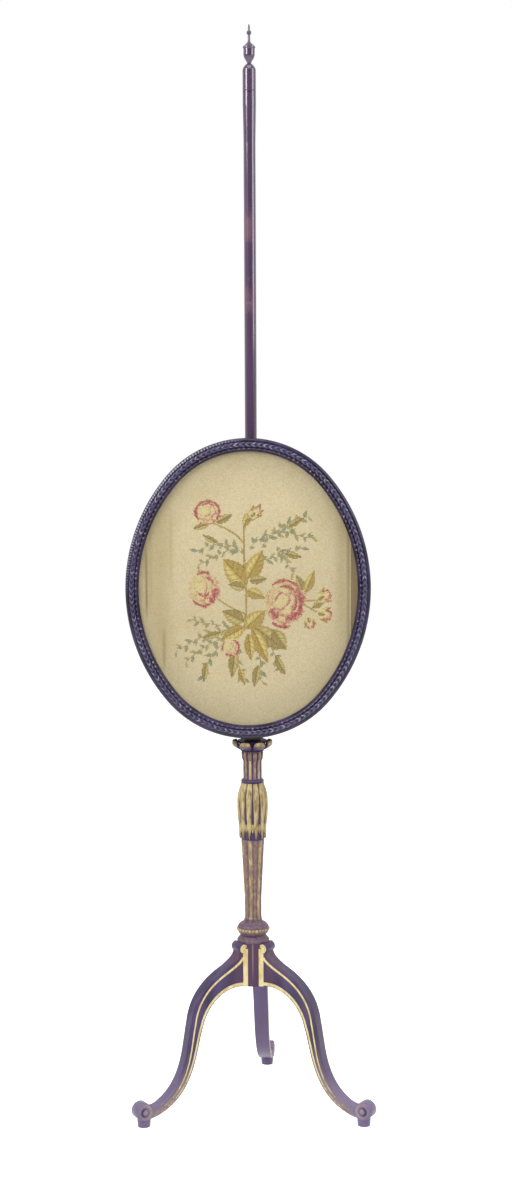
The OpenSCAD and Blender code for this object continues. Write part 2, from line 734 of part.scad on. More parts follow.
module upper_eye() {
    color(brass_color) difference() {
        eye(upper_eye_z, upper_eye_z - plate_h / 2, upper_eye_z + plate_h / 2)
            cross_bar(0, boss_end, boss_r);
        cross_bar(0, boss_end + 1, thumb_shank_r + running_gap);
    }
}

module lower_eye() {
    color(brass_color) eye(lower_eye_z, lower_eye_foot, lower_eye_z + plate_h / 2);
}

// Countersunk screws through the plates into the rails
module eye_screws() {
    sink = screw_head_r - screw_r;
    color(brass_color) for (z = [upper_eye_z, lower_eye_z]) for (x = screw_offsets)
        translate([x, frame_back_y + plate_t, z]) rotate([90, 0, 0]) {
            cylinder(sink, screw_head_r, screw_r);
            cylinder(screw_len, screw_r, screw_r);
        }
}

// Thumbscrew: shank, collar and a flat round thumb piece
module thumbscrew() {
    tip = pole_r + running_gap;
    neck_end = boss_end + 4;
    color(brass_color) {
        cross_bar(tip, neck_end + 3, thumb_shank_r);
        cross_bar(boss_end + 1, neck_end, thumb_shank_r + 1.5);
        translate([0, neck_end + thumb_r - 1, upper_eye_z]) rotate([0, 90, 0])
            cylinder(thumb_t, thumb_r, thumb_r, center = true);
    }
}

leg_left();
leg_right();
leg_rear();
foot_left();
foot_right();
foot_rear();
hub();
base_collar();
fluted_shaft();
leaf_bulb();
fluted_neck();
capital();
pole();
pole_cap();
finial();
frame_top();
frame_right();
frame_bottom();
frame_left();
panel_board();
needlework();
panel_brads();
upper_eye();
lower_eye();
eye_screws();
thumbscrew();
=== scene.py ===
"""Pole screen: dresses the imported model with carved, gilt, polished and stitched pieces."""
import math

import bpy
import numpy as np
from mathutils import Matrix, Vector


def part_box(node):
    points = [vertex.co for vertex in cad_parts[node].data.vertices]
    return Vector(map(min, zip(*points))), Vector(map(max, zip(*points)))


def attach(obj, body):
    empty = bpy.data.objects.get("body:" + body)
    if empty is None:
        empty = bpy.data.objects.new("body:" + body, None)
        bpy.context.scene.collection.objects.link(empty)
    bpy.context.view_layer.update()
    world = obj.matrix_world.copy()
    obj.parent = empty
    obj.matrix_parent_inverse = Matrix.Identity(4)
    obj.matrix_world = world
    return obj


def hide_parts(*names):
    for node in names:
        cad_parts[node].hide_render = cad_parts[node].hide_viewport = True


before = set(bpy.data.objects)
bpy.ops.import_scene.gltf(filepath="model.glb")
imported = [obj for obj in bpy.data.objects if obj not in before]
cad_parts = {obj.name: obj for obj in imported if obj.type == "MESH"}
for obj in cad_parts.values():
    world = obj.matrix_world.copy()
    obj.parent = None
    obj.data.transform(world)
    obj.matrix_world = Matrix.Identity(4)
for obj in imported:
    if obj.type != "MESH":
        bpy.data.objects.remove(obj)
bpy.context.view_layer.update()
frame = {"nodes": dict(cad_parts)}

bl_info = {
    "name": "Pole Screen",
    "version": (1, 0, 0),
    "blender": (4, 5, 0),
    "location": "View3D > Sidebar > Pole Screen",
    "description": "Dresses a pole screen: carved stem, gilt legs, polished pole and stitched panel",
    "category": "Object",
}

X, Y, Z = 0, 1, 2


def low(node, axis):
    """Lowest coordinate of a CAD node along an axis."""
    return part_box(node)[0][axis]


def high(node, axis):
    """Highest coordinate of a CAD node along an axis."""
    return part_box(node)[1][axis]


# Heights of the stem's joints and radii of its ends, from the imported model
HUB_RISE = low("hub", Z)
HUB_TOP = high("hub", Z)
HUB_R = high("hub", X)
COLLAR_TOP = high("base_collar", Z)
COLLAR_R = high("base_collar", X)
SHAFT_TOP = low("leaf_bulb", Z)
BULB_TOP = high("leaf_bulb", Z)
BULB_R = high("leaf_bulb", X)
NECK_TOP = low("capital", Z)
CAPITAL_TOP = high("capital", Z)
CAPITAL_R = high("capital", X)
POLE_TOP = low("pole_cap", Z)

# The oval frame and the panel in it
PANEL_X = (low("frame_left", X) + high("frame_right", X)) / 2
PANEL_Z = (low("frame_bottom", Z) + high("frame_top", Z)) / 2
HALF_W = high("frame_right", X) - PANEL_X
HALF_H = high("frame_top", Z) - PANEL_Z
FRAME_BACK = high("frame_right", Y)
FRAME_DEPTH = FRAME_BACK - low("frame_right", Y)
CANVAS_FRONT = low("needlework", Y)
CANVAS_RIGHT = high("needlework", X) - PANEL_X
CANVAS_HALF_H = high("needlework", Z) - PANEL_Z


# Sizes and colours


def srgb(code):
    """Linear colour of a six-figure colour code."""
    shares = [int(code[i:i + 2], 16) / 255 for i in (0, 2, 4)]
    return tuple(c / 12.92 if c <= 0.04045 else ((c + 0.055) / 1.055) ** 2.4 for c in shares)


def shades(*codes):
    """Linear colours of several colour codes."""
    return [srgb(code) for code in codes]


def length(name, description, default):
    """A size in metres that a user may change."""
    return bpy.props.FloatProperty(name=name, description=description, default=default, unit="LENGTH",
                                   precision=5)


def slope(name, description, degrees):
    """An angle that a user may change."""
    return bpy.props.FloatProperty(name=name, description=description, default=math.radians(degrees),
                                   subtype="ANGLE")


def number(name, description, default, least):
    """A number of like pieces that a user may change."""
    return bpy.props.IntProperty(name=name, description=description, default=default, min=least)


def colour(name, description, code):
    """A colour that a user may change."""
    return bpy.props.FloatVectorProperty(name=name, description=description, default=srgb(code),
                                         subtype="COLOR", size=3, min=0, max=1)


class StandSizes(bpy.types.PropertyGroup):
    """Sizes of the tripod's legs and their gilt lines."""
    top_w: length("Leg width at hub", "Width of a leg where it meets the hub", 0.025)
    toe_w: length("Leg width at toe", "Width of a leg at its toe", 0.0185)
    hub_lap: length("Hub lap", "Distance that a leg runs into the hub", 0.001)
    peg_inset: length("Peg inset", "Distance from the toe scroll's middle in to the peg's middle", 0.00275)
    shoulder_out: length("Shoulder reach", "Distance from the hub's surface to a leg's shoulder", 0.0056)
    shoulder_drop: length("Shoulder drop", "Drop from the hub's top to a leg's shoulder", 0.0115)
    cove_out: length("Hollow reach", "Distance from the hub's surface to the hollow below the ear", 0.026)
    cove_drop: length("Hollow drop", "Drop from the hub's top to the hollow below the ear", 0.033)
    knee_out: length("Knee reach", "Distance from the pole's axis to the knee", 0.111)
    knee_drop: length("Knee drop", "Drop from the hub's underside to the knee", 0.044)
    knee_depth: length("Knee depth", "Depth of a leg at the knee", 0.020)
    knee_slope: slope("Knee slope", "Slope of the line across a leg's depth at the knee", 20)
    toe_r: length("Toe scroll radius", "Radius of the toe scroll", 0.013)
    toe_drum: length("Toe scroll width", "Width of the toe scroll", 0.022)
    ear_r: length("Ear scroll radius", "Radius of the ear scroll under the collar", 0.0076)
    ear_drum: length("Ear scroll width", "Width of the ear scroll", 0.027)
    ear_out: length("Ear scroll reach", "Distance from the hub's surface to the ear's middle", -0.0002)
    top_round: length("Upper edge rounding", "Rounding of a leg's upper edges", 0.0040)
    under_round: length("Lower edge rounding", "Rounding of a leg's lower edges", 0.0008)
    upper_line_w: length("Upper gilt line", "Width of the upper gilt line at the hub", 0.0040)
    lower_line_w: length("Lower gilt line", "Width of the lower gilt line at the hub", 0.0050)
    line_toe_w: length("Gilt lines at toe", "Width of the gilt lines at the toe", 0.0017)
    line_drop: length("Upper line drop", "Drop from the hub's top to the start of the upper gilt line", 0.021)
    line_gap: length("Gilt line gap", "Gap between a rounded edge and the gilt line beside it", 0.0002)
    strip_side: length("Gilt strip", "Distance from a leg's middle to the far edge of its gilt strip", 0.0151)
    leaf_t: length("Gilding thickness", "Distance that the gilding stands proud of the wood", 0.00015)


class StemSizes(bpy.types.PropertyGroup):
    """Sizes of the carved and gilt stem."""
    shaft_foot_r: length("Shaft foot radius", "Radius of the shaft at its foot", 0.014)
    shaft_slim_r: length("Shaft slim radius", "Radius of the shaft at its slimmest", 0.0128)
    shaft_top_r: length("Shaft top radius", "Radius of the shaft under the bulb", 0.0174)
    flute_depth: length("Flute depth", "Depth of the shaft's and the neck's flutes", 0.0015)
    neck_r: length("Neck radius", "Radius of the fluted neck", 0.0142)
    neck_ring_r: length("Neck ring radius", "Radius of the plain ring under the neck", 0.017)
    neck_ring_h: length("Neck ring height", "Height of the plain ring under the neck", 0.0045)
    leaf_t: length("Leaf thickness", "Thickness of the bulb's carved leaves", 0.0018)
    curl_t: length("Curled leaf thickness", "Thickness of the leaves that curl outward", 0.0012)
    collar_bead_r: length("Collar bead radius", "Radius of the collar's beads", 0.0024)
    flutes: number("Flutes", "Flutes round the shaft", 12, 6)
    leaves: number("Leaves", "Leaves round the bulb", 12, 6)
    tips: number("Leaf tips", "Leaves round the capital", 8, 4)
    beads: number("Beads", "Beads round the collar", 28, 8)


class PanelSizes(bpy.types.PropertyGroup):
    """Sizes of the oval frame's carving and of the needlework."""
    outer_round_r: length("Outer round", "Radius of the moulding's plain outer round", 0.005)
    carved_round_r: length("Carved round", "Radius of the moulding's carved round", 0.00375)
    inner_bead_r: length("Inner bead", "Radius of the moulding's inner bead", 0.0013)
    quirk_w: length("Groove", "Width of the grooves between the moulding's members", 0.0005)
    carving_pitch: length("Carving pitch", "Length of one leaf of the running carving", 0.0086)
    carving_h: length("Carving height", "Height of the leaves above the round", 0.0015)
    bead_pitch: length("Bead pitch", "Length of one notched length of the inner bead", 0.0075)
    canvas_inset: length("Canvas inset", "Distance from the frame's outer edge to the canvas", 0.0142)
    canvas_lift: length("Canvas lift", "Distance from the canvas's front back to its middle", 0.0002)
    canvas_slack: length("Canvas slack", "Height of the canvas's faint waves", 0.00018)
    stitch: length("Stitch", "Size of one stitch", 0.0014)
    join_angle: slope("Joining angle", "Angle at which the oval's side arcs run into its end arcs", 40.5)


class FinishColours(bpy.types.PropertyGroup):
    """Colours of the finishes."""
    wood: colour("Stand wood", "Polished dark wood of the stand", "4a3c67")
    # Dark streaks in the wood, and also the painted shade on the toe scrolls' outer side
    wood_dark_and_shade: colour("Stand wood, deep", "Dark streaks in the stand's wood", "2f2346")
    wood_red: colour("Stand wood, red", "Redder wood beside the hub", "54384f")
    # Paler wood towards the toes, and painted light on the stand's far side
    wood_pale_and_lit: colour("Stand wood, pale", "Thin polish near the toes", "8c7c9e")
    wood_worn: colour("Stand wood, worn", "Bare wood where the polish has worn", "ab9c8a")
    gilt_ground: colour("Wood under gilding", "Dark wood that shows through the gold", "4a3a5d")
    gilt: colour("Leg gilding", "Gold leaf on the legs", "e4d6a2")
    gilt_deep: colour("Leg gilding, deep", "Thin gold leaf on the legs", "cbb373")
    stem_gilt: colour("Stem gilding", "Gold leaf on the stem", "c4b281")
    stem_gilt_deep: colour("Stem gilding, deep", "Thin gold leaf on the stem", "7d6644")
    bole: colour("Bole", "Brown ground under the gold leaf", "8c7264")
    pole: colour("Pole", "Polished wood of the pole", "4d2f50")
    pole_deep: colour("Pole, deep", "Dark streaks in the pole", "36223f")
    pole_red: colour("Pole, worn", "Brown-rose marks on the pole", "684a58")
    frame: colour("Frame", "Dark gloss of the oval frame", "382f4f")
    # Dark tone of the frame's gloss and of the pole's seam, and the painted shade in the carving's cuts
    frame_dark_and_cut_shade: colour("Frame, deep", "Hollows of the oval frame", "160f25")
    # Painted highlight: lighter tone on the crests of the frame's carving
    frame_crest_highlight: colour("Frame, crests", "Crests of the frame's carving", "454162")
    # Painted highlight: glints on the carving's crests and on the frame's outer edge at the upper left
    frame_painted_glint: colour("Frame, glints", "Spots rubbed bare on the frame's carving", "a39eae")
    wool_faded: colour("Wool, faded", "Clouds of faded wool", "a8986a")
    wool_gap: colour("Wool, gaps", "Shade between the stitches", "6b5c3c")
    board: colour("Board", "Wood of the board behind the canvas", "9c8d68")
    board_grain: colour("Board, grain", "Grain of the board", "7f6f4e")
    board_deep: colour("Board, deep", "Broad dark rings in the board", "4a3722")
    brass: colour("Brass", "Aged brass of the fittings", "4c3d2a")
    brass_stain: colour("Brass, stained", "Brown stains on the brass", "2d2418")
    floor: colour("Floor", "Pale studio floor", "f4f3f3")
    floor_cloud: colour("Floor, clouds", "Faint clouds on the floor", "e8e7e7")


def sizes(kind):
    """One of the groups of sizes or colours."""
    return getattr(bpy.context.scene, "screen_" + kind)


# Shader nodes


class Shade:
    """A shader value: used in an expression, it adds the Math nodes that work the expression out."""

    def __init__(self, coat, socket):
        self.coat = coat
        self.socket = socket

    def math(self, operation, *others):
        """Result of a Math node on this value and others."""
        return self.coat.add("ShaderNodeMath", {"operation": operation}, [self, *others])

    def __add__(self, other):
        return self.math("ADD", other)

    def __mul__(self, other):
        return self.math("MULTIPLY", other)

    def __sub__(self, other):
        return self.math("SUBTRACT", other)

    def __rsub__(self, other):
        return self.coat.add("ShaderNodeMath", {"operation": "SUBTRACT"}, [other, self])

    def __pow__(self, other):
        return self.math("POWER", other)

    def __abs__(self):
        return self.math("ABSOLUTE")

    __radd__ = __add__
    __rmul__ = __mul__

    def step(self, start, end):
        """0 below start, 1 above end, smooth between them."""
        settings = {"interpolation_type": "SMOOTHSTEP"}
        return self.coat.add("ShaderNodeMapRange", settings, {0: self, 1: start, 2: end})


class Coat:
    """The nodes of one finish."""

    def __init__(self, owner):
        owner.use_nodes = True
        self.tree = owner.node_tree
        self.tree.nodes.clear()

    def add(self, kind, settings=None, sockets=None, out=0):
        """Adds a node, sets it up, fills or links its sockets and returns one of its outputs."""
        node = self.tree.nodes.new(kind)
        for key, value in (settings or {}).items():
            setattr(node, key, value)
        pairs = sockets.items() if isinstance(sockets, dict) else enumerate(sockets or [])
        for key, value in pairs:
            if isinstance(value, Shade):
                self.tree.links.new(value.socket, node.inputs[key])
            else:
                node.inputs[key].default_value = value
        return Shade(self, node.outputs[out]) if node.outputs else node

    def place(self, stretch=(1, 1, 1)):
        """Place on the piece, stretched along its axes."""
        spot = self.add("ShaderNodeTexCoord", out="Object")
        return self.add("ShaderNodeVectorMath", {"operation": "MULTIPLY"}, [spot, stretch])

    def axes(self):
        """The three coordinates of a place on the piece."""
        parts = self.add("ShaderNodeSeparateXYZ", None, [self.place()])
        node = parts.socket.node
        return [Shade(self, node.outputs[axis]) for axis in (X, Y, Z)]

    def noise(self, scale, detail=3.0, stretch=(1, 1, 1), rough=0.55):
        """Cloudy values about 0.5."""
        spot = self.place(stretch)
        return self.add("ShaderNodeTexNoise", None,
                        {"Vector": spot, "Scale": scale, "Detail": detail, "Roughness": rough})

    def attribute(self, name, out="Fac"):
        """Value that the piece's points or faces hold."""
        return self.add("ShaderNodeAttribute", {"attribute_name": name}, None, out)

    def mix(self, share, first, second):
        """Colour between two colours."""
        tones = [tone if isinstance(tone, Shade) else (*tone, 1) for tone in (first, second)]
        return self.add("ShaderNodeMix", {"data_type": "RGBA"}, {0: share, 6: tones[0], 7: tones[1]}, 2)

    def bump(self, height, distance, strength):
        """Fine relief for a finish's normal."""
        return self.add("ShaderNodeBump", None,
                        {"Height": height, "Distance": distance, "Strength": strength})

    def surface(self, sockets):
        """Closes the finish with its shader and output."""
        shader = self.add("ShaderNodeBsdfPrincipled", None, sockets)
        self.add("ShaderNodeOutputMaterial", None, {"Surface": shader})


def new_coat(name):
    """A new material and its nodes."""
    material = bpy.data.materials.new(name)
    return material, Coat(material)


# Finishes


def hub_seam(across, along, height):
    """A pale upright line on the hub's front, just left of its middle, faint towards the hub's foot."""
    seam_left = 0.0008
    seam_half_w = (0.0003, 0.0014)
    fade_h = 0.045
    front = (-0.021, -0.017)
    line = 1 - abs(across + seam_left).step(*seam_half_w)
    return line * height.step(HUB_RISE, HUB_RISE + fade_h) * (1 - along.step(*front))


def stand_polish(name, seam):
    """Worn dark polish: redder beside the hub, paler at the toes, and painted light that makes the rear
    paler.

    The wood is bare where the wear value is high, and a painted shade darkens it where the value is below 0.
    seam is the strength of the pale upright line on the hub's front.
    """
    red_reach = (0.022, 0.065)
    red_rise = (0.1, 0.2)
    rear_light_reach = (0.02, 0.10)
    toe_rise = (0.02, 0.12)
    tones = sizes("colours")
    material, coat = new_coat(name)
    streak = coat.noise(38, 4, (1, 1, 0.25))
    blotch = coat.noise(11, 2)
    scuff = coat.noise(140, 3)
    across, along, height = coat.axes()
    out = (across * across + along * along) ** 0.5
    near_hub = (1 - out.step(*red_reach)) * height.step(*red_rise)
    # Painted light: the stand's far side, which the lamps light less, is painted paler
    rear = along.step(*rear_light_reach) * 0.75
    thin = (1 - height.step(*toe_rise)).math("MAXIMUM", rear) * (0.5 + blotch * 0.6)
    wear = coat.attribute("wear")
    worn = wear * (0.55 + scuff * 0.6)
    wood = coat.mix(streak.step(0.3, 0.7), tones.wood_dark_and_shade, tones.wood)
    wood = coat.mix(near_hub * 0.85, wood, tones.wood_red)
    wood = coat.mix(thin * 0.75, wood, tones.wood_pale_and_lit)
    wood = coat.mix(worn, wood, tones.wood_worn)
    # Painted shade: a value below 0 darkens the wood, on the toe scrolls' outer side
    wood = coat.mix(0.0 - wear, wood, tones.wood_dark_and_shade)
    if seam:
        wood = coat.mix(hub_seam(across, along, height) * seam, wood, tones.wood_worn)
    coat.surface({
        "Base Color": wood,
        "Roughness": 0.27 + scuff * 0.12 + worn * 0.2,
        "Specular IOR Level": 0.2,
        "Coat Weight": 0.08,
        "Coat Roughness": 0.18,
        "Normal": coat.bump(streak + scuff * 0.3, 0.0003, 0.2),
    })
    return material


def gilding(name, ground, bright, deep, dull=0.26):
    """Gold leaf over brown bole where the piece's gilt value is high, and the ground where it is low.

    dull is the roughness of the ground.
    """
    tones = sizes("colours")
    material, coat = new_coat(name)
    gilt = coat.attribute("gilt")
    rub = coat.noise(260, 4, (1, 1, 0.6), 0.65)
    wave = coat.noise(190, 3, (1, 1, 0.3))
    leaf = (gilt * 1.5 - rub * 0.9).step(0.1, 0.5)
    thin = (gilt * 1.6 - rub * 0.6).step(0.0, 0.4)
    gold = coat.mix(wave.step(0.35, 0.72), bright, deep)
    under = coat.mix(thin * 0.9, ground, tones.bole)
    coat.surface({
        "Base Color": coat.mix(leaf, under, gold),
        "Metallic": leaf * 0.2,
        "Roughness": dull + thin * 0.12 + rub * 0.14,
        "Specular IOR Level": 0.2,
        "Coat Weight": 0.06 - thin * 0.06,
        "Coat Roughness": 0.18,
        "Normal": coat.bump(rub, 0.0002, 0.25),
    })
    return material


def pole_polish():
    """Purple-brown polish with long streaks, and faint rubbed marks half way up."""
    upper_mark_z = 1.3095
    lower_mark_z = 1.2185
    ring_z = 1.201
    tones = sizes("colours")
    material, coat = new_coat("pole_polish")
    streak = coat.noise(120, 3, (1, 1, 0.05))
    blotch = coat.noise(60, 3, (1, 1, 0.5))
    across, _, height = coat.axes()
    left = 1 - across.step(0.000, 0.005)
    upper_mark = 1 - abs(height - upper_mark_z).step(0.008, 0.030)
    lower_mark = 1 - abs(height - lower_mark_z).step(0.014, 0.045)
    ring = (1 - abs(height - ring_z).step(0.0010, 0.0026)) * left
    seam = 1 - abs(height - POLE_TOP).step(0.0006, 0.0016)
    marks = (upper_mark + lower_mark) * blotch.step(0.42, 0.66) * (0.4 + left * 0.4) + ring * 0.6
    wood = coat.mix(streak.step(0.3, 0.7), tones.pole_deep, tones.pole)
    wood = coat.mix(marks, wood, tones.pole_red)
    wood = coat.mix(seam * 0.7, wood, tones.frame_dark_and_cut_shade)
    coat.surface({
        "Base Color": wood,
        "Roughness": 0.2 + blotch * 0.08 + marks * 0.12,
        "Specular IOR Level": 0.4,
        "Coat Weight": 0.8 - marks * 0.3,
        "Coat Roughness": 0.09,
        "Coat IOR": 1.6,
        "Normal": coat.bump(streak, 0.0001, 0.08),
    })
    return material


def frame_gloss():
    """Dark blue-violet gloss, with a row of painted highlight ticks on the outer edge at the upper left."""
    edge_start = (0.0006, 0.0014)
    edge_end = (0.0036, 0.0050)
    join_blur = (-0.001, 0.001)
    highlight_reach = (0.13, 0.18)
    tick_rate = 290.0
    tones = sizes("colours")
    oval = Oval()
    material, coat = new_coat("frame_gloss")
    cloud = coat.noise(40, 3)
    rub = coat.noise(320, 3)
    across, _, up = coat.axes()
    across = across - PANEL_X
    up = up - PANEL_Z
    over = up - oval.end_mid
    beside = abs(across) + oval.side_mid
    end_in = oval.end_r - (across * across + over * over) ** 0.5
    side_in = oval.side_r - (beside * beside + up * up) ** 0.5
    at_end = (over - abs(across) * (oval.end_mid / oval.side_mid)).step(*join_blur)
    inset = side_in + (end_in - side_in) * at_end
    edge = inset.step(*edge_start) * (1 - inset.step(*edge_end))
    # Painted highlight: ticks along the outer edge at the upper left, where the light falls on it
    upper_left_highlight = (up * 0.6 - across * 0.8).step(*highlight_reach)
    ticks = (up.math("ARCTAN2", across) * tick_rate).math("SINE").step(-0.1, 0.8)
    tone = coat.mix(cloud.step(0.3, 0.7), tones.frame_dark_and_cut_shade, tones.frame)
    tone = coat.mix(edge * upper_left_highlight * (ticks * 0.7 + rub.step(0.4, 0.7) * 0.3), tone, tones.frame_painted_glint)
    coat.surface({
        "Base Color": tone,
        "Roughness": 0.2 + rub * 0.2,
        "Specular IOR Level": 0.28,
        "Coat Weight": 0.1,
        "Coat Roughness": 0.12,
        "Normal": coat.bump(rub, 0.0002, 0.25),
    })
    return material


def carved_gloss():
    """The frame's gloss on the carving, with painted shade in the cuts, painted highlights on the crests and
    small painted glints on them.
    """
    tones = sizes("colours")
    material, coat = new_coat("carved_gloss")
    crest = coat.attribute("crest")
    rub = coat.noise(420, 3)
    spot = coat.noise(150, 2, (1, 1, 1), 0.4)
    # Painted shade in the cuts and painted highlights on the crests, from the crest value
    tone = coat.mix(crest.step(0.25, 0.75), tones.frame_dark_and_cut_shade, tones.frame)
    tone = coat.mix((crest * 0.7 + rub * 0.5).step(0.72, 1.0) * 0.8, tone, tones.frame_crest_highlight)
    # Painted glints on the highest crests
    lit = crest.step(0.80, 1.0) * (0.06 + spot.step(0.45, 0.68) * 0.62)
    tone = coat.mix(lit, tone, tones.frame_painted_glint)
    coat.surface({
        "Base Color": tone,
        "Roughness": 0.16 + rub * 0.14,
        "Specular IOR Level": 0.4,
        "Coat Weight": 0.1,
        "Coat Roughness": 0.1,
    })
    return material


def stitched_wool():
    """Wool stitches: each has its own thread colour, and they lie in rows and columns."""
    tones = sizes("colours")
    stitch_rate = math.pi / sizes("panel").stitch
    material, coat = new_coat("stitched_wool")
    thread = coat.attribute("thread", "Color")
    across, _, up = coat.axes()
    column = abs((across * stitch_rate).math("SINE"))
    row = abs((up * stitch_rate).math("SINE"))
    fuzz = coat.noise(900, 2)
    cloud = coat.noise(16, 3)
    dull = coat.mix(cloud.step(0.35, 0.8) * 0.22, thread, tones.wool_faded)
    tone = coat.mix((1 - column * row) * 0.16, dull, tones.wool_gap)
    coat.surface({
        "Base Color": tone,
        "Roughness": 0.92,
        "Sheen Weight": 0.15,
        "Sheen Roughness": 0.5,
        "Specular IOR Level": 0.2,
        "Normal": coat.bump(column * row + fuzz * 0.4, 0.0005, 0.5),
    })
    return material


def board_wood():
    """Plain brown board with a straight grain."""
    tones = sizes("colours")
    material, coat = new_coat("board_wood")
    grain = coat.noise(70, 5, (1, 1, 0.06))
    ring = coat.noise(9, 2, (1, 1, 0.15))
    tone = coat.mix(grain.step(0.3, 0.75), tones.board_grain, tones.board)
    tone = coat.mix(ring.step(0.4, 0.7) * 0.3, tone, tones.board_deep)
    coat.surface({
        "Base Color": tone,
        "Roughness": 0.6 + grain * 0.2,
        "Normal": coat.bump(grain, 0.0005, 0.4),
    })
    return material


def aged_brass():
    """Brass, browned unevenly."""
    tones = sizes("colours")
    material, coat = new_coat("aged_brass")
    stain = coat.noise(150, 4)
    tone = coat.mix(stain.step(0.4, 0.7), tones.brass, tones.brass_stain)
    coat.surface({
        "Base Color": tone,
        "Metallic": 0.9,
        "Roughness": 0.28 + stain * 0.25,
        "Normal": coat.bump(stain, 0.0002, 0.2),
    })
    return material


# Mesh helpers


def add_piece(name, points, faces, finish, body, stands_for=()):
    """Adds a smooth mesh piece that rides on a body and may stand for CAD nodes."""
    mesh = bpy.data.meshes.new(name)
    mesh.from_pydata([tuple(p) for p in points], [], faces)
    mesh.update()
    mesh.shade_smooth()
    mesh.materials.append(finish)
    piece = bpy.data.objects.new(name, mesh)
    bpy.context.scene.collection.objects.link(piece)
    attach(piece, body)
    if stands_for:
        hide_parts(*stands_for)
    return piece


def keep_edges(piece, degrees=38):
    """Keeps the edges sharp that turn by more than an angle."""
    piece.data.set_sharp_from_angle(angle=math.radians(degrees))


def set_values(piece, name, values):
    """Gives each point of a piece a value that its finish reads."""
    store = piece.data.attributes.new(name, "FLOAT", "POINT")
    store.data.foreach_set("value", np.asarray(values, dtype=np.float32))


def dress(finish, *nodes):
    """Gives CAD nodes a finish."""
    for node in nodes:
        for slot in frame["nodes"][node].material_slots:
            slot.material = finish


def ease(t):
    """Smooth step from 0 to 1."""
    t = min(1.0, max(0.0, t))
    return t * t * (3 - 2 * t)


def between(t, stops):
    """Value at t on straight lines through (t, value) stops."""
    return float(np.interp(t, [s[0] for s in stops], [s[1] for s in stops]))


def bezier(a, b, c, d, steps):
    """Points of a cubic curve in a plane, from a to d with handles b and c."""
    a, b, c, d = (Vector(p) for p in (a, b, c, d))
    return [(1 - t) ** 3 * a + 3 * (1 - t) ** 2 * t * b + 3 * (1 - t) * t ** 2 * c + t ** 3 * d
            for t in (i / steps for i in range(steps + 1))]


def smooth_line(stops, handles, steps):
    """Points of curves from stop to stop.

    Each curve has its pair of handles, as offsets from its start and from its end, and its steps.
    """
    line = stops[:1]
    for start, end, (leave, arrive), n in zip(stops, stops[1:], handles, steps):
        line += bezier(start, start + Vector(leave), end + Vector(arrive), end, n)[1:]
    return line


def drawn_in(line, depth):
    """A line drawn in from another one, to the right of its run."""
    last = len(line) - 1
    found = []
    for i, p in enumerate(line):
        along = (line[min(last, i + 1)] - line[max(0, i - 1)]).normalized()
        found.append(p + Vector((along.y, -along.x)) * depth)
    return found


def polar(r, angle, z):
    """Place at a distance from the pole's axis, an angle round it and a height."""
    return Vector((r * math.cos(angle), r * math.sin(angle), z))


def grid_faces(rows, columns, closed=False, ring=False):
    """Faces of a grid of points, row by row.

    A closed grid joins its last column to its first, and a ring joins its last row to its first.
    """
    last_row = rows if ring else rows - 1
    last_column = columns if closed else columns - 1
    return [(r * columns + c, r * columns + (c + 1) % columns,
             (r + 1) % rows * columns + (c + 1) % columns, (r + 1) % rows * columns + c)
            for r in range(last_row) for c in range(last_column)]


def lathe(profile, steps, ripple=None):
    """Points and faces of a turned form; ripple changes the radius at an angle and a height."""
    points = []
    for r, z in profile:
        for k in range(steps):
            a = 2 * math.pi * k / steps
            points.append(polar(ripple(a, r, z) if ripple else r, a, z))
    return points, grid_faces(len(profile), steps, closed=True)


def around(count, shift, grid, columns, closed=False):
    """Points and faces of a grid that is repeated round the pole's axis.

    The grid holds (angle, radius, height) places row by row. shift turns all of them by a share of the
    angle from one to the next.
    """
    one = grid_faces(len(grid) // columns, columns, closed)
    points = []
    faces = []
    for k in range(count):
        first = len(points)
        turn = 2 * math.pi * (k + shift) / count
        points += [polar(r, turn + a, z) for a, r, z in grid]
        faces += [tuple(first + v for v in face) for face in one]
    return points, faces


# Legs


def foot_place(node):
    """Distance from the pole's axis to a foot, and the angle round it."""
    start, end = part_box(node)
    middle = (start + end) / 2
    return math.hypot(middle.x, middle.y), math.atan2(middle.y, middle.x)


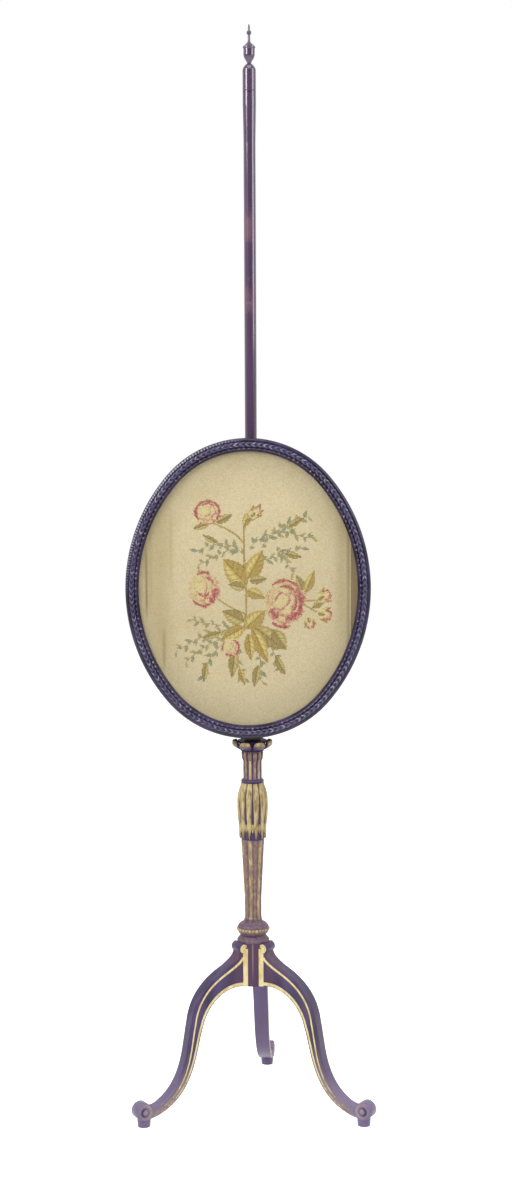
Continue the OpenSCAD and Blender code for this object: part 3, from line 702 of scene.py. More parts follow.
class Leg:
    """Side view of one leg as (distance from the axis, height), and its place in the stand."""

    # Handles of the edges' curves, as (out, up) from the start and from the end of each curve
    UPPER_HANDLES = (((0, -0.009), (-0.009, 0.006)),
                     ((0.032, -0.015), (-0.005, 0.038)),
                     ((0.009, -0.039), (-0.054, 0.023)))
    LOWER_HANDLES = (((0.028, 0.006), (-0.009, 0.036)),
                     ((0.012, -0.032), (-0.062, 0.023)))
    SHOULDER_STEPS = 8
    EDGE_STEPS = 16

    # Where the edges meet the toe scroll, in radii from its middle
    TOE_BACK = (-1.3, 0.3)
    TOE_UNDER = (-1.75, -0.62)

    # Flat top beside the hub
    TOP_FLAT = 0.003

    # Wear of the underside at shares of its run from the hub to the toe
    UNDER_WEAR = [(0, 0), (0.66, 0), (0.86, 0.6), (1, 0.95)]

    # A scroll's end from its eye to its rim: share of the radius, and height above the end's plane
    SCROLL_END = ((0.0, 0.0009), (0.20, 0.0008), (0.30, 0.0002), (0.38, -0.0006), (0.50, -0.0006),
                  (0.58, 0.0), (0.80, 0.0002), (0.92, -0.0004), (1.0, -0.0018))
    SCROLL_STEPS = 40

    # Start of the upper gilt line, and the handles of its sweep from the strip to the leg's upper edge
    SWEEP_OUT = 0.0008
    SWEEP_LEAVE = (0.005, -0.009)
    SWEEP_ARRIVE = 0.012
    SWEEP_STEPS = 10

    # Gilt strip: its reach on the leg's side, its gap above the hub's underside and its bow
    STRIP_OUT = 0.0012
    STRIP_GAP = 0.0003
    STRIP_BOW = 0.0006

    def __init__(self, node, foot):
        s = sizes("stand")
        self.s = s
        self.node = node
        foot_out, self.azimuth = foot_place(foot)
        self.reach = foot_out + s.peg_inset
        self.toe_z = low(node, Z) + s.toe_r
        toe = Vector((self.reach, self.toe_z))
        shoulder = Vector((HUB_R + s.shoulder_out, HUB_TOP - s.shoulder_drop))
        cove = Vector((HUB_R + s.cove_out, HUB_TOP - s.cove_drop))
        knee = Vector((s.knee_out, HUB_RISE - s.knee_drop))
        under_knee = knee - s.knee_depth * Vector((math.cos(s.knee_slope), math.sin(s.knee_slope)))
        crotch = Vector((HUB_R - s.hub_lap, HUB_RISE))
        toe_back = toe + s.toe_r * Vector(self.TOE_BACK)
        toe_under = toe + s.toe_r * Vector(self.TOE_UNDER)
        self.start = [Vector((HUB_R - s.hub_lap, HUB_TOP)), Vector((HUB_R + self.TOP_FLAT, HUB_TOP))]
        self.upper = smooth_line([shoulder, cove, knee, toe_back], self.UPPER_HANDLES,
                                 (self.SHOULDER_STEPS, self.EDGE_STEPS, self.EDGE_STEPS))
        self.end = [toe, toe - Vector((0, s.toe_r))]
        self.lower = smooth_line([crotch, under_knee, toe_under], self.LOWER_HANDLES,
                                 (self.EDGE_STEPS, self.EDGE_STEPS))
        self.outline = self.start + self.upper + self.end + self.lower[::-1]

    def half_w(self, out):
        """Half the leg's width at a distance from the axis."""
        share = (out - HUB_R) / (self.reach + self.s.toe_r - HUB_R)
        share = min(1.0, max(0.0, share))
        return (self.s.top_w * (1 - share) + self.s.toe_w * share) / 2

    def turned(self, out, side, height):
        """Place in the stand of a point of the leg."""
        c, s = math.cos(self.azimuth), math.sin(self.azimuth)
        return Vector((out * c - side * s, out * s + side * c, height))

    def body(self, finish, under_wear, top_wear):
        """The sawn leg with rounded edges, worn along its top and along its underside near the toe."""
        n = len(self.outline)
        points = [self.turned(p.x, side * self.half_w(p.x), p.y) for side in (1, -1) for p in self.outline]
        faces = [tuple(range(n)), tuple(range(2 * n - 1, n - 1, -1))]
        faces += [(i, n + i, n + (i + 1) % n, (i + 1) % n) for i in range(n)]
        piece = add_piece(self.node + "_carved", points, faces, finish, "stand", (self.node,))
        keep_edges(piece)
        wear = [0.0] * len(self.start) + [top_wear] * len(self.upper) + [0.0] * len(self.end)
        wear += [under_wear * between(run, self.UNDER_WEAR) for run in np.linspace(1, 0, len(self.lower))]
        set_values(piece, "wear", wear * 2)
        self.round_edges(piece)

    def round_edges(self, piece):
        """Rounds the upper edges well and the lower edges a little."""
        n = len(self.outline)
        first = len(self.start)
        upper = set(range(first, first + len(self.upper)))
        lower = set(range(n - len(self.lower), n))
        weights = piece.data.attributes.new("bevel_weight_edge", "FLOAT", "EDGE")
        for edge in piece.data.edges:
            ends = {v % n for v in edge.vertices}
            if len(ends) == 2 and ends <= upper:
                weights.data[edge.index].value = 1.0
            elif len(ends) == 2 and ends <= lower:
                weights.data[edge.index].value = self.s.under_round / self.s.top_round
        rounding = piece.modifiers.new("rounding", "BEVEL")
        rounding.width = self.s.top_round
        rounding.segments = 5
        rounding.limit_method = "WEIGHT"
        rounding.use_clamp_overlap = False
        rounding.harden_normals = True

    def drum(self, name, out, height, r, width, finish, value, shares, away_shade):
        """A scroll seen end on: a drum across the leg with a sunk ring and an eye at each end.

        shares gives the finish's value from the middle of the drum's ends to their rim, and the last argument
        says how much lower it is on the side that faces away from the leg, which paints shade on that side.
        """
        end = [(share * r, width / 2 + rise) for share, rise in self.SCROLL_END]
        profile = end + [(reach, -side) for reach, side in reversed(end)]
        points, faces = lathe(profile, self.SCROLL_STEPS)
        turned = [self.turned(out + p.x, p.z, height + p.y) for p in points]
        piece = add_piece(name, turned, faces, finish, "stand")
        values = []
        for p in points:
            middle_out = math.hypot(p.x, p.y)
            away = ease(0.5 + 0.5 * p.x / max(middle_out, 1e-6))
            values.append(between(middle_out / r, shares) - away * between(middle_out / r, away_shade))
        set_values(piece, value, values)

    def upper_line(self):
        """Middle of the upper gilt line: from the strip beside the hub, then along the leg's upper edge."""
        s = self.s
        below_cove = self.upper[self.SHOULDER_STEPS + 2:]
        edge = drawn_in(below_cove, s.top_round + s.line_gap + s.upper_line_w / 2)
        start = Vector((HUB_R + self.SWEEP_OUT, HUB_TOP - s.line_drop))
        heading = (edge[1] - edge[0]).normalized()
        sweep = bezier(start, start + Vector(self.SWEEP_LEAVE), edge[0] - heading * self.SWEEP_ARRIVE,
                       edge[0], self.SWEEP_STEPS)
        return sweep[:-1] + edge

    def lower_line(self):
        """Middle of the lower gilt line, along the leg's lower edge."""
        s = self.s
        return drawn_in(self.lower, -(s.under_round + s.line_gap + s.lower_line_w / 2))

    def ribbon(self, name, line, widths, side, finish, gilt):
        """A gilt line on a side face."""
        edges = [drawn_in(line, share) for share in (-0.5, 0.5)]
        points = []
        for middle, left, right, width in zip(line, *edges, widths):
            for edge in (left, right):
                q = middle + (edge - middle) * width
                points.append(self.turned(q.x, side * (self.half_w(q.x) + self.s.leaf_t), q.y))
        piece = add_piece(name, points, grid_faces(len(line), 2), finish, "stand")
        set_values(piece, "gilt", [value for value in gilt for _ in edges])

    def strip(self, name, side, finish):
        """Upright gilt strip that bridges a side face and the hub."""
        s = self.s
        rows, columns = 10, 6
        half = s.top_w / 2
        foot = HUB_RISE + self.STRIP_GAP
        leg_edge = Vector((HUB_R + self.STRIP_OUT, half + s.leaf_t))
        hub_edge = Vector((math.sqrt(HUB_R ** 2 - s.strip_side ** 2), s.strip_side))
        way = hub_edge - leg_edge
        front = Vector((way.y, -way.x)).normalized()
        points = []
        for height in np.linspace(HUB_TOP - s.ear_r, foot, rows):
            for j in range(columns):
                t = j / (columns - 1)
                q = leg_edge + way * t + front * self.STRIP_BOW * math.sin(math.pi * t)
                points.append(self.turned(q.x, side * q.y, height))
        corner = math.sqrt(HUB_R ** 2 - half ** 2)
        points.append(self.turned(corner, side * half, foot))
        faces = grid_faces(rows, columns)
        faces.append(tuple(range((rows - 1) * columns, rows * columns + 1)))
        piece = add_piece(name, points, faces, finish, "stand")
        keep_edges(piece, 60)
        set_values(piece, "gilt", [1.0] * len(points))


# How worn each leg is along its underside and along its top
LEG_WEAR = {"left": (1.0, 0.04), "right": (1.0, 0.10), "rear": (0.15, 0.0)}

# Finish of the scrolls' ends at shares of their radius, and how much lower it is away from the leg, a painted
# shade on the toes' outer side
EAR_GILT = [(0, 1), (0.8, 1), (0.9, 0), (1, 0)]
EAR_AWAY_SHADE = [(0, 0)]
TOE_WEAR = [(0, 0.75), (0.25, 0.6), (0.36, 0), (0.52, 0), (0.6, 0.8), (0.86, 0.8), (0.95, 0.22)]
TOE_AWAY_SHADE = [(0, 0), (0.25, 0.2), (0.34, 0.9), (0.54, 0.9), (0.6, 0.45), (0.88, 0.5), (0.95, 0.16)]

# Gilding of the legs' lines at shares of their run, and their width half way as a share of that at the hub
LINE_GILT = [(0, 1.0), (0.5, 0.95), (0.66, 0.78), (0.8, 0.58), (1, 0.42)]
LINE_HALF_WAY = 0.66

HUB_SEAM = 0.45


class AddLegs(bpy.types.Operator):
    """Carve the three legs, with their scrolls and gilt lines"""
    bl_idname = "pole_screen.legs"
    bl_label = "Legs"

    def execute(self, context):
        s = sizes("stand")
        tones = sizes("colours")
        polish = stand_polish("stand_polish", 0)
        gold = gilding("leg_gilding", tones.gilt_ground, tones.gilt, tones.gilt_deep)
        dress(polish, "foot_left", "foot_right", "foot_rear")
        dress(stand_polish("hub_polish", HUB_SEAM), "hub")
        for name, (under_wear, top_wear) in LEG_WEAR.items():
            leg = Leg("leg_" + name, "foot_" + name)
            leg.body(polish, under_wear, top_wear)
            leg.drum(f"ear_{name}", HUB_R + s.ear_out, HUB_TOP - s.ear_r, s.ear_r, s.ear_drum, gold,
                     "gilt", EAR_GILT, EAR_AWAY_SHADE)
            leg.drum(f"toe_{name}", leg.reach, leg.toe_z, s.toe_r, s.toe_drum, polish,
                     "wear", TOE_WEAR, TOE_AWAY_SHADE)
            for face, side in (("a", 1), ("b", -1)):
                self.gild(leg, f"{name}_{face}", side, gold)
        return {"FINISHED"}

    def gild(self, leg, tag, side, gold):
        """Gilt lines and strip of one side face, thinner and more rubbed towards the toe."""
        s = leg.s
        for name, line, hub_w in (("upper_line", leg.upper_line(), s.upper_line_w),
                                  ("lower_line", leg.lower_line(), s.lower_line_w)):
            run = np.linspace(0, 1, len(line))
            gilt = [between(share, LINE_GILT) for share in run]
            widths = np.interp(run, [0, 0.5, 1], [hub_w, LINE_HALF_WAY * hub_w, s.line_toe_w])
            leg.ribbon(f"{name}_{tag}", line, widths, side, gold, gilt)
        leg.strip(f"strip_{tag}", side, gold)


# Stem


class AddStem(bpy.types.Operator):
    """Turn and carve the stem: collar, fluted shaft, leaf bulb, neck and capital"""
    bl_idname = "pole_screen.stem"
    bl_label = "Stem"

    def execute(self, context):
        tones = sizes("colours")
        self.s = sizes("stem")
        self.gold = gilding("stem_gilding", tones.gilt_ground, tones.stem_gilt, tones.stem_gilt_deep)
        self.hollow = gilding("stem_hollows", tones.wood_dark_and_shade, tones.stem_gilt, tones.stem_gilt_deep, 0.7)
        self.collar()
        self.shaft()
        self.bulb()
        self.neck()
        self.capital()
        return {"FINISHED"}

    def gilded(self, name, points, faces, gilt, stands_for=()):
        """Adds a piece of the stem with a gilt value for each point."""
        piece = add_piece(name, points, faces, self.gold, "stand", stands_for)
        set_values(piece, "gilt", gilt)
        return piece

    def collar(self):
        """A full round, rubbed to gold a little below its row of small gilt beads."""
        s = self.s
        height = COLLAR_TOP - HUB_TOP
        bead_z = HUB_TOP + 0.6 * height
        round_r = 0.33 * height
        round_mid = COLLAR_R - s.collar_bead_r / 2 - round_r
        socket_r = 0.008
        foot_r = HUB_R + 0.0007
        profile = [(socket_r, HUB_TOP), (foot_r, HUB_TOP), (foot_r, HUB_TOP + 0.09 * height)]
        profile += [(round_mid + round_r * math.cos(a), bead_z + round_r * math.sin(a))
                    for a in np.radians(np.linspace(-62, 75, 18))]
        profile += [(s.shaft_foot_r + 0.001, COLLAR_TOP - 0.0015), (s.shaft_foot_r, COLLAR_TOP)]
        points, faces = lathe(profile, 96)
        piece = add_piece("collar_turning", points, faces, self.gold, "stand", ("base_collar",))
        keep_edges(piece)
        plain_gold = 0.30
        rubbed_gold = 0.38
        rubbed_z = bead_z - 0.001
        rubbed_h = 0.0075
        rubbed = [rubbed_gold * math.exp(-((p.z - rubbed_z) / rubbed_h) ** 2) for p in points]
        set_values(piece, "gilt", [max(plain_gold, gold) for gold in rubbed])
        self.beads(COLLAR_R - s.collar_bead_r, bead_z)

    def beads(self, ring_r, bead_z):
        """A ring of small round beads."""
        s = self.s
        bead_gold = 0.58
        rows, columns = 7, 12
        bead = []
        for i in range(rows):
            tilt = math.pi * i / (rows - 1)
            out = ring_r + s.collar_bead_r * math.cos(tilt)
            r = s.collar_bead_r * math.sin(tilt)
            for j in range(columns):
                a = 2 * math.pi * j / columns
                side = r * math.cos(a)
                bead.append((math.atan2(side, out), math.hypot(side, out), bead_z + r * math.sin(a)))
        points, faces = around(s.beads, 0, bead, columns, closed=True)
        self.gilded("collar_beads", points, faces, [bead_gold] * len(points))

    def fluted(self, name, node, foot, stops, levels, groove_gold_and_shade, plain_gold):
        """A turned form with flutes between narrow fillets, unevenly rubbed.

        Each stop has a height above the foot, a radius and the share of the flutes' depth there, and levels
        is the number of rows before those of the stops are added. The gold table says how gilt a flute is at
        each share of its depth, falling to a painted shade at its bottom, and plain_gold how gilt the form is
        where it has no flutes.
        """
        s = self.s
        fillet = 0.34
        flute_steps = 16
        rub_depth = 0.17
        rub_start = 4.65
        rub_step = 2.8
        rises, radii, depths = zip(*stops)
        rows = np.unique(np.concatenate([np.linspace(0, rises[-1], levels), rises]))
        profile = [(float(np.interp(rise, rises, radii)), foot + rise) for rise in rows]

        def flute(a):
            return a * s.flutes / (2 * math.pi)

        def groove(a):
            place = abs(flute(a) % 1 * 2 - 1)
            return 0.0 if place < fillet else math.sin((place - fillet) / (1 - fillet) * math.pi / 2)

        def depth(z):
            return float(np.interp(z - foot, rises, depths))

        def ripple(a, r, z):
            return r - s.flute_depth * depth(z) * groove(a)

        points, faces = lathe(profile, s.flutes * flute_steps, ripple)
        gilt = []
        for p in points:
            a = math.atan2(p.y, p.x) % (2 * math.pi)
            uneven = 1 + rub_depth * math.sin(rub_start + rub_step * int(flute(a)))
            cut = ease(depth(p.z) * 2)
            gilt.append(cut * between(groove(a), groove_gold_and_shade) * uneven + (1 - cut) * plain_gold)
        self.gilded(name, points, faces, gilt, (node,))

    def shaft(self):
        """Tapered shaft, fluted from above its plain foot up to the bulb."""
        s = self.s
        h = SHAFT_TOP - COLLAR_TOP
        foot_r, slim_r, top_r = s.shaft_foot_r, s.shaft_slim_r, s.shaft_top_r
        stops = [(0, foot_r, 0), (0.002, foot_r - 0.0006, 0), (0.005, slim_r + 0.0002, 0.5),
                 (0.008, slim_r, 1), (0.034, slim_r, 1), (h - 0.010, top_r - 0.0005, 1),
                 (h - 0.005, top_r, 0.6), (h, top_r, 0.3)]
        # Painted shade: the gold falls at each flute's bottom
        groove_gold_and_shade = [(0, 0.47), (0.25, 0.45), (0.6, 0.43), (0.975, 0.40), (1, 0.10)]
        self.fluted("shaft_flutes", "fluted_shaft", COLLAR_TOP, stops, 30, groove_gold_and_shade, 0.29)

    def bulb_r(self, z):
        """Radius of the bulb's leaves at a height."""
        s = self.s
        h = BULB_TOP - SHAFT_TOP
        return between(z - SHAFT_TOP, [
            (0, s.shaft_top_r + 0.0012), (0.004, s.shaft_top_r + 0.0022), (0.009, BULB_R - 0.0030),
            (0.016, BULB_R - 0.0026), (0.023, BULB_R - 0.0020), (0.029, BULB_R - 0.0012),
            (0.036, BULB_R - 0.0004), (0.044, BULB_R), (h - 0.026, BULB_R), (h - 0.018, BULB_R - 0.0010),
            (h - 0.011, BULB_R - 0.0030), (h - 0.005, s.neck_ring_r + 0.0009), (h, s.neck_ring_r)])

    def bulb(self):
        """Dark core, a lower tier of leaf tips and an upper tier of long leaves that point down."""
        s = self.s
        h = BULB_TOP - SHAFT_TOP
        core_depth = 1.25 * s.leaf_t
        core = [(self.bulb_r(z) - core_depth, z) for z in np.linspace(SHAFT_TOP, BULB_TOP, 40)]
        core[0] = (s.shaft_top_r, SHAFT_TOP)
        points, faces = lathe(core, 72)
        self.gilded("bulb_core", points, faces, [0.0] * len(points), ("leaf_bulb",))
        long_leaf = [(0, 0.90), (0.12, 0.98), (0.26, 0.97), (0.34, 0.88), (0.48, 0.78), (0.62, 0.72),
                     (0.69, 0.66), (0.74, 0.78), (0.80, 0.74), (0.90, 0.38), (1, 0.02)]
        short_leaf = [(0, 0.1), (0.15, 0.4), (0.45, 0.56), (0.7, 0.4), (1, 0.02)]
        self.leaves("bulb_tips", 0.0, SHAFT_TOP + 0.29 * h, SHAFT_TOP + 0.13 * h, short_leaf, -0.0008, 0.66)
        self.leaves("bulb_leaves", 0.5, BULB_TOP - 0.001, SHAFT_TOP + 0.02 * h, long_leaf, 0.0, 0.84)

    def leaves(self, name, shift, top, tip, outline, lift, gilt):
        """A tier of pointed leaves laid round the bulb, each with a sunk rib down its middle.

        outline gives a leaf's width, as a share of its room, from its top to its tip.
        """
        s = self.s
        rows, columns = 26, 9
        half_room = math.pi / s.leaves
        crown_h = 0.0011
        rib_depth = 0.0005
        rib_w = 0.16
        curl_out = 0.0012
        curl_start = 0.72
        leaf = []
        values = []
        for i in range(rows):
            t = i / (rows - 1)
            z = top + (tip - top) * t
            half = between(t, outline) * half_room
            edge_r = self.bulb_r(z) - crown_h + lift + curl_out * ease((t - curl_start) / (1 - curl_start))
            for j in range(columns):
                b = 2 * j / (columns - 1) - 1
                rib = math.exp(-(b / rib_w) ** 2)
                crown = crown_h * (1 - abs(b) ** 2.4) - rib_depth * rib
                turned_in = s.leaf_t if j in (0, columns - 1) else 0.0
                leaf.append((b * half, edge_r + crown - turned_in, z))
                # Painted shade: less gold in the sunk rib and towards the leaf's turned-in edges
                values.append(gilt - 0.24 * rib * ease(2 - 2 * t) - 0.5 * abs(b) ** 4)
        points, faces = around(s.leaves, shift, leaf, columns)
        self.gilded(name, points, faces, values * s.leaves)

    def neck(self):
        """Plain ring, then reeds up to the capital."""
        s = self.s
        top = NECK_TOP - BULB_TOP
        ring = s.neck_ring_h
        ring_r, r = s.neck_ring_r, s.neck_r
        stops = [(0, ring_r - 0.0006, 0), (0.0008, ring_r, 0), (ring - 0.0022, ring_r, 0),
                 (ring - 0.0006, ring_r - 0.0012, 0), (ring, r + 0.0002, 0), (ring + 0.0014, r, 0.7),
                 (ring + 0.004, r, 1), (top - 0.010, r, 1), (top - 0.007, r + 0.0002, 0.6),
                 (top - 0.003, r + 0.0012, 0.3), (top, r + 0.0016, 0.2)]
        # Painted shade: the gold falls towards each flute's bottom
        groove_gold_and_shade = [(0, 0.56), (0.2, 0.49), (0.5, 0.38), (0.85, 0.26), (1, 0.04)]
        self.fluted("neck_reeds", "fluted_neck", BULB_TOP, stops, 24, groove_gold_and_shade, 0.17)
        self.curls("neck_tips", NECK_TOP - 0.0135, 0.012, r + 0.0001, 0.0021, s.flutes, 0.54, 0.75)

    def capital(self):
        """Dark bell and disc with gilt leaves that turn outward."""
        s = self.s
        h = CAPITAL_TOP - NECK_TOP
        r = s.neck_r
        disc_r = CAPITAL_R - 0.006
        tenon_r = 0.0061
        pole_r = 0.0089
        profile = [(tenon_r, NECK_TOP), (r + 0.0026, NECK_TOP), (r + 0.0032, NECK_TOP + 0.25 * h),
                   (r + 0.0050, NECK_TOP + 0.5 * h), (disc_r - 0.0030, NECK_TOP + 0.72 * h),
                   (disc_r - 0.0010, NECK_TOP + 0.80 * h), (disc_r, NECK_TOP + 0.83 * h),
                   (disc_r, NECK_TOP + 0.97 * h), (disc_r - 0.0006, CAPITAL_TOP), (pole_r, CAPITAL_TOP)]
        points, faces = lathe(profile, 72)
        piece = add_piece("capital_bell", points, faces, self.hollow, "stand", ("capital",))
        keep_edges(piece)
        set_values(piece, "gilt", [0.0] * len(points))
        foot = 0.0026
        throw = CAPITAL_R - r + 0.0004
        self.curls("capital_leaves", NECK_TOP + foot, h - foot, r + 0.0026, throw, s.tips, 0.70, 0.38)

    def curls(self, name, foot, rise, foot_r, throw, count, gilt, foot_share):
        """A ring of leaves that rise and curl outward at their tips.

        gilt says how gilt the tips are, and foot_share what share of it is left at the leaves' feet.
        """
        rise_steps, curl_steps, columns = 11, 4, 9
        rib_depth = 0.0004
        rib_w = 0.2
        droop = 0.07 * rise
        shoulder = (throw, 0.74 * rise)
        path = bezier((0, 0), (0.42 * throw, 0.10 * rise), (0.96 * throw, 0.42 * rise), shoulder, rise_steps)
        path += bezier(shoulder, (1.01 * throw, 0.94 * rise), (0.92 * throw, 1.04 * rise),
                       (0.78 * throw, 0.98 * rise), curl_steps)[1:]
        outline = [(0, 0.62), (0.35, 0.82), (0.65, 0.84), (0.85, 0.68), (1, 0.40)]
        leaf = []
        values = []
        for i, spot in enumerate(path):
            t = i / (len(path) - 1)
            half = between(t, outline) * math.pi / count
            worn = foot_share + (1 - foot_share) * ease(2.4 * t - 1)
            for j in range(columns):
                b = 2 * j / (columns - 1) - 1
                r = foot_r + spot.x * (1 - 0.16 * b * b * t) - rib_depth * math.exp(-(b / rib_w) ** 2)
                leaf.append((b * half, r, foot + spot.y - droop * b * b))
                # Painted shade: less gold towards the leaf's edges
                values.append(gilt * worn * (1 - 0.45 * abs(b) ** 4))
        points, faces = around(count, 0.5, leaf, columns)
        piece = self.gilded(name, points, faces, values * count)
        thickness = piece.modifiers.new("thickness", "SOLIDIFY")
        thickness.thickness = self.s.curl_t
        thickness.offset = -1


class AddPole(bpy.types.Operator):
    """Polish the pole, its cap and the finial"""
    bl_idname = "pole_screen.pole"
    bl_label = "Pole"

    def execute(self, context):
        dress(pole_polish(), "pole", "pole_cap", "finial")
        return {"FINISHED"}


# Frame


class Oval:
    """Four-centre oval of the frame, in the panel's plane."""

    def __init__(self):
        angle = sizes("panel").join_angle
        gap = (HALF_H - HALF_W) / (math.cos(angle) + math.sin(angle) - 1)
        self.end_mid = gap * math.sin(angle)
        self.side_mid = gap * math.cos(angle)
        self.end_r = HALF_H - self.end_mid
        self.side_r = HALF_W + self.side_mid
        side = 2 * angle
        end = math.pi - side
        # Centre, radius, first angle and sweep of each arc
        self.arcs = [((-self.side_mid, 0), self.side_r, -angle, side),
                     ((0, self.end_mid), self.end_r, angle, end),
                     ((self.side_mid, 0), self.side_r, math.pi - angle, side),
                     ((0, -self.end_mid), self.end_r, math.pi + angle, end)]

    def runs(self, inset):
        """Length of each arc, drawn in by inset."""
        return [(r - inset) * sweep for _, r, _, sweep in self.arcs]

    def stations(self, inset, count):
        """Evenly spaced stations: centre of the arc, its radius and the angle on it."""
        runs = self.runs(inset)
        found = []
        for k in range(count):
            d = sum(runs) * k / count
            i = 0
            while d > runs[i]:
                d -= runs[i]
                i += 1
            centre, r, first, _ = self.arcs[i]
            found.append((centre, r, first + d / (r - inset)))
        return found

    def inside(self, x, z, inset):
        """True where a place lies inside the oval drawn in by inset."""
        x, z = np.abs(x), np.abs(z)
        in_end = z > self.end_mid + self.end_mid / self.side_mid * x
        near_end = np.hypot(x, z - self.end_mid) < self.end_r - inset
        near_side = np.hypot(x + self.side_mid, z) < self.side_r - inset
        return np.where(in_end, near_end, near_side)


class AddFrame(bpy.types.Operator):
    """Polish the oval frame and carve its running leaf band and notched bead"""
    bl_idname = "pole_screen.frame"
    bl_label = "Oval frame"

    def execute(self, context):
        self.s = sizes("panel")
        self.oval = Oval()
        dress(frame_gloss(), "frame_top", "frame_right", "frame_bottom", "frame_left")
        self.carved = carved_gloss()
        self.leaf_band()
        self.bead()
        return {"FINISHED"}

    def carve(self, name, inset, depth, pitch, steps, sides, section):
        """Adds a closed run of carving round the oval.

        inset is the distance of the run's middle from the frame's outer edge, and depth that from its back.
        section(k, tilt) gives the radius and the crest value at step k and at an angle across the run.
        """
        count = round(sum(self.oval.runs(inset)) / pitch) * steps
        tilts = [math.pi * (1 - j / (sides - 1)) for j in range(sides)]
        points = []
        crests = []
        for k, (centre, arc_r, a) in enumerate(self.oval.stations(inset, count)):
            for tilt in tilts:
                r, crest = section(k, tilt)
                reach = arc_r - inset - r * math.cos(tilt)
                points.append(Vector((PANEL_X + centre[0] + reach * math.cos(a),
                                      FRAME_BACK - depth - r * math.sin(tilt),
                                      PANEL_Z + centre[1] + reach * math.sin(a))))
                crests.append(crest)
        faces = grid_faces(count, sides, ring=True)
        piece = add_piece(name, points, faces, self.carved, "panel")
        # The crest value drives the finish's painted shade in the cuts and painted highlights on the crests
        set_values(piece, "crest", crests)

    def leaf_band(self):
        """Pairs of leaves that run round the middle of the moulding."""
        s = self.s
        inset = s.outer_round_r + s.quirk_w + s.carved_round_r
        depth = FRAME_DEPTH - s.carved_round_r - 0.0006
        ground_r = s.carved_round_r + 0.0001
        steps = 10
        slant = 0.75
        bluntness = 0.65
        spine_h = 0.55
        spine_w = 0.13
        sunk = 0.35

        def section(k, tilt):
            b = math.cos(tilt)
            leaf = abs(math.sin(math.pi * (k / steps + slant * abs(b)))) ** bluntness
            spine = spine_h * math.exp(-(b / spine_w) ** 2)
            raised = max(leaf, spine)
            edge = 1 - abs(b) ** 6
            return ground_r + (raised - sunk) * s.carving_h * edge, raised * edge

        self.carve("leaf_band", inset, depth, s.carving_pitch, steps, 15, section)

    def bead(self):
        """Inner bead, notched at an even pitch."""
        s = self.s
        inset = s.outer_round_r + 2 * (s.quirk_w + s.carved_round_r) + s.inner_bead_r
        depth = FRAME_DEPTH - s.carved_round_r - 0.0008
        steps = 8
        notch_share = 0.82
        swell_share = 0.32

        def section(k, tilt):
            swell = abs(math.sin(math.pi * (k + 0.5) / steps)) ** 0.5
            return s.inner_bead_r * (notch_share + swell_share * swell), swell

        self.carve("notched_bead", inset, depth, s.bead_pitch, steps, 9, section)


# Panel


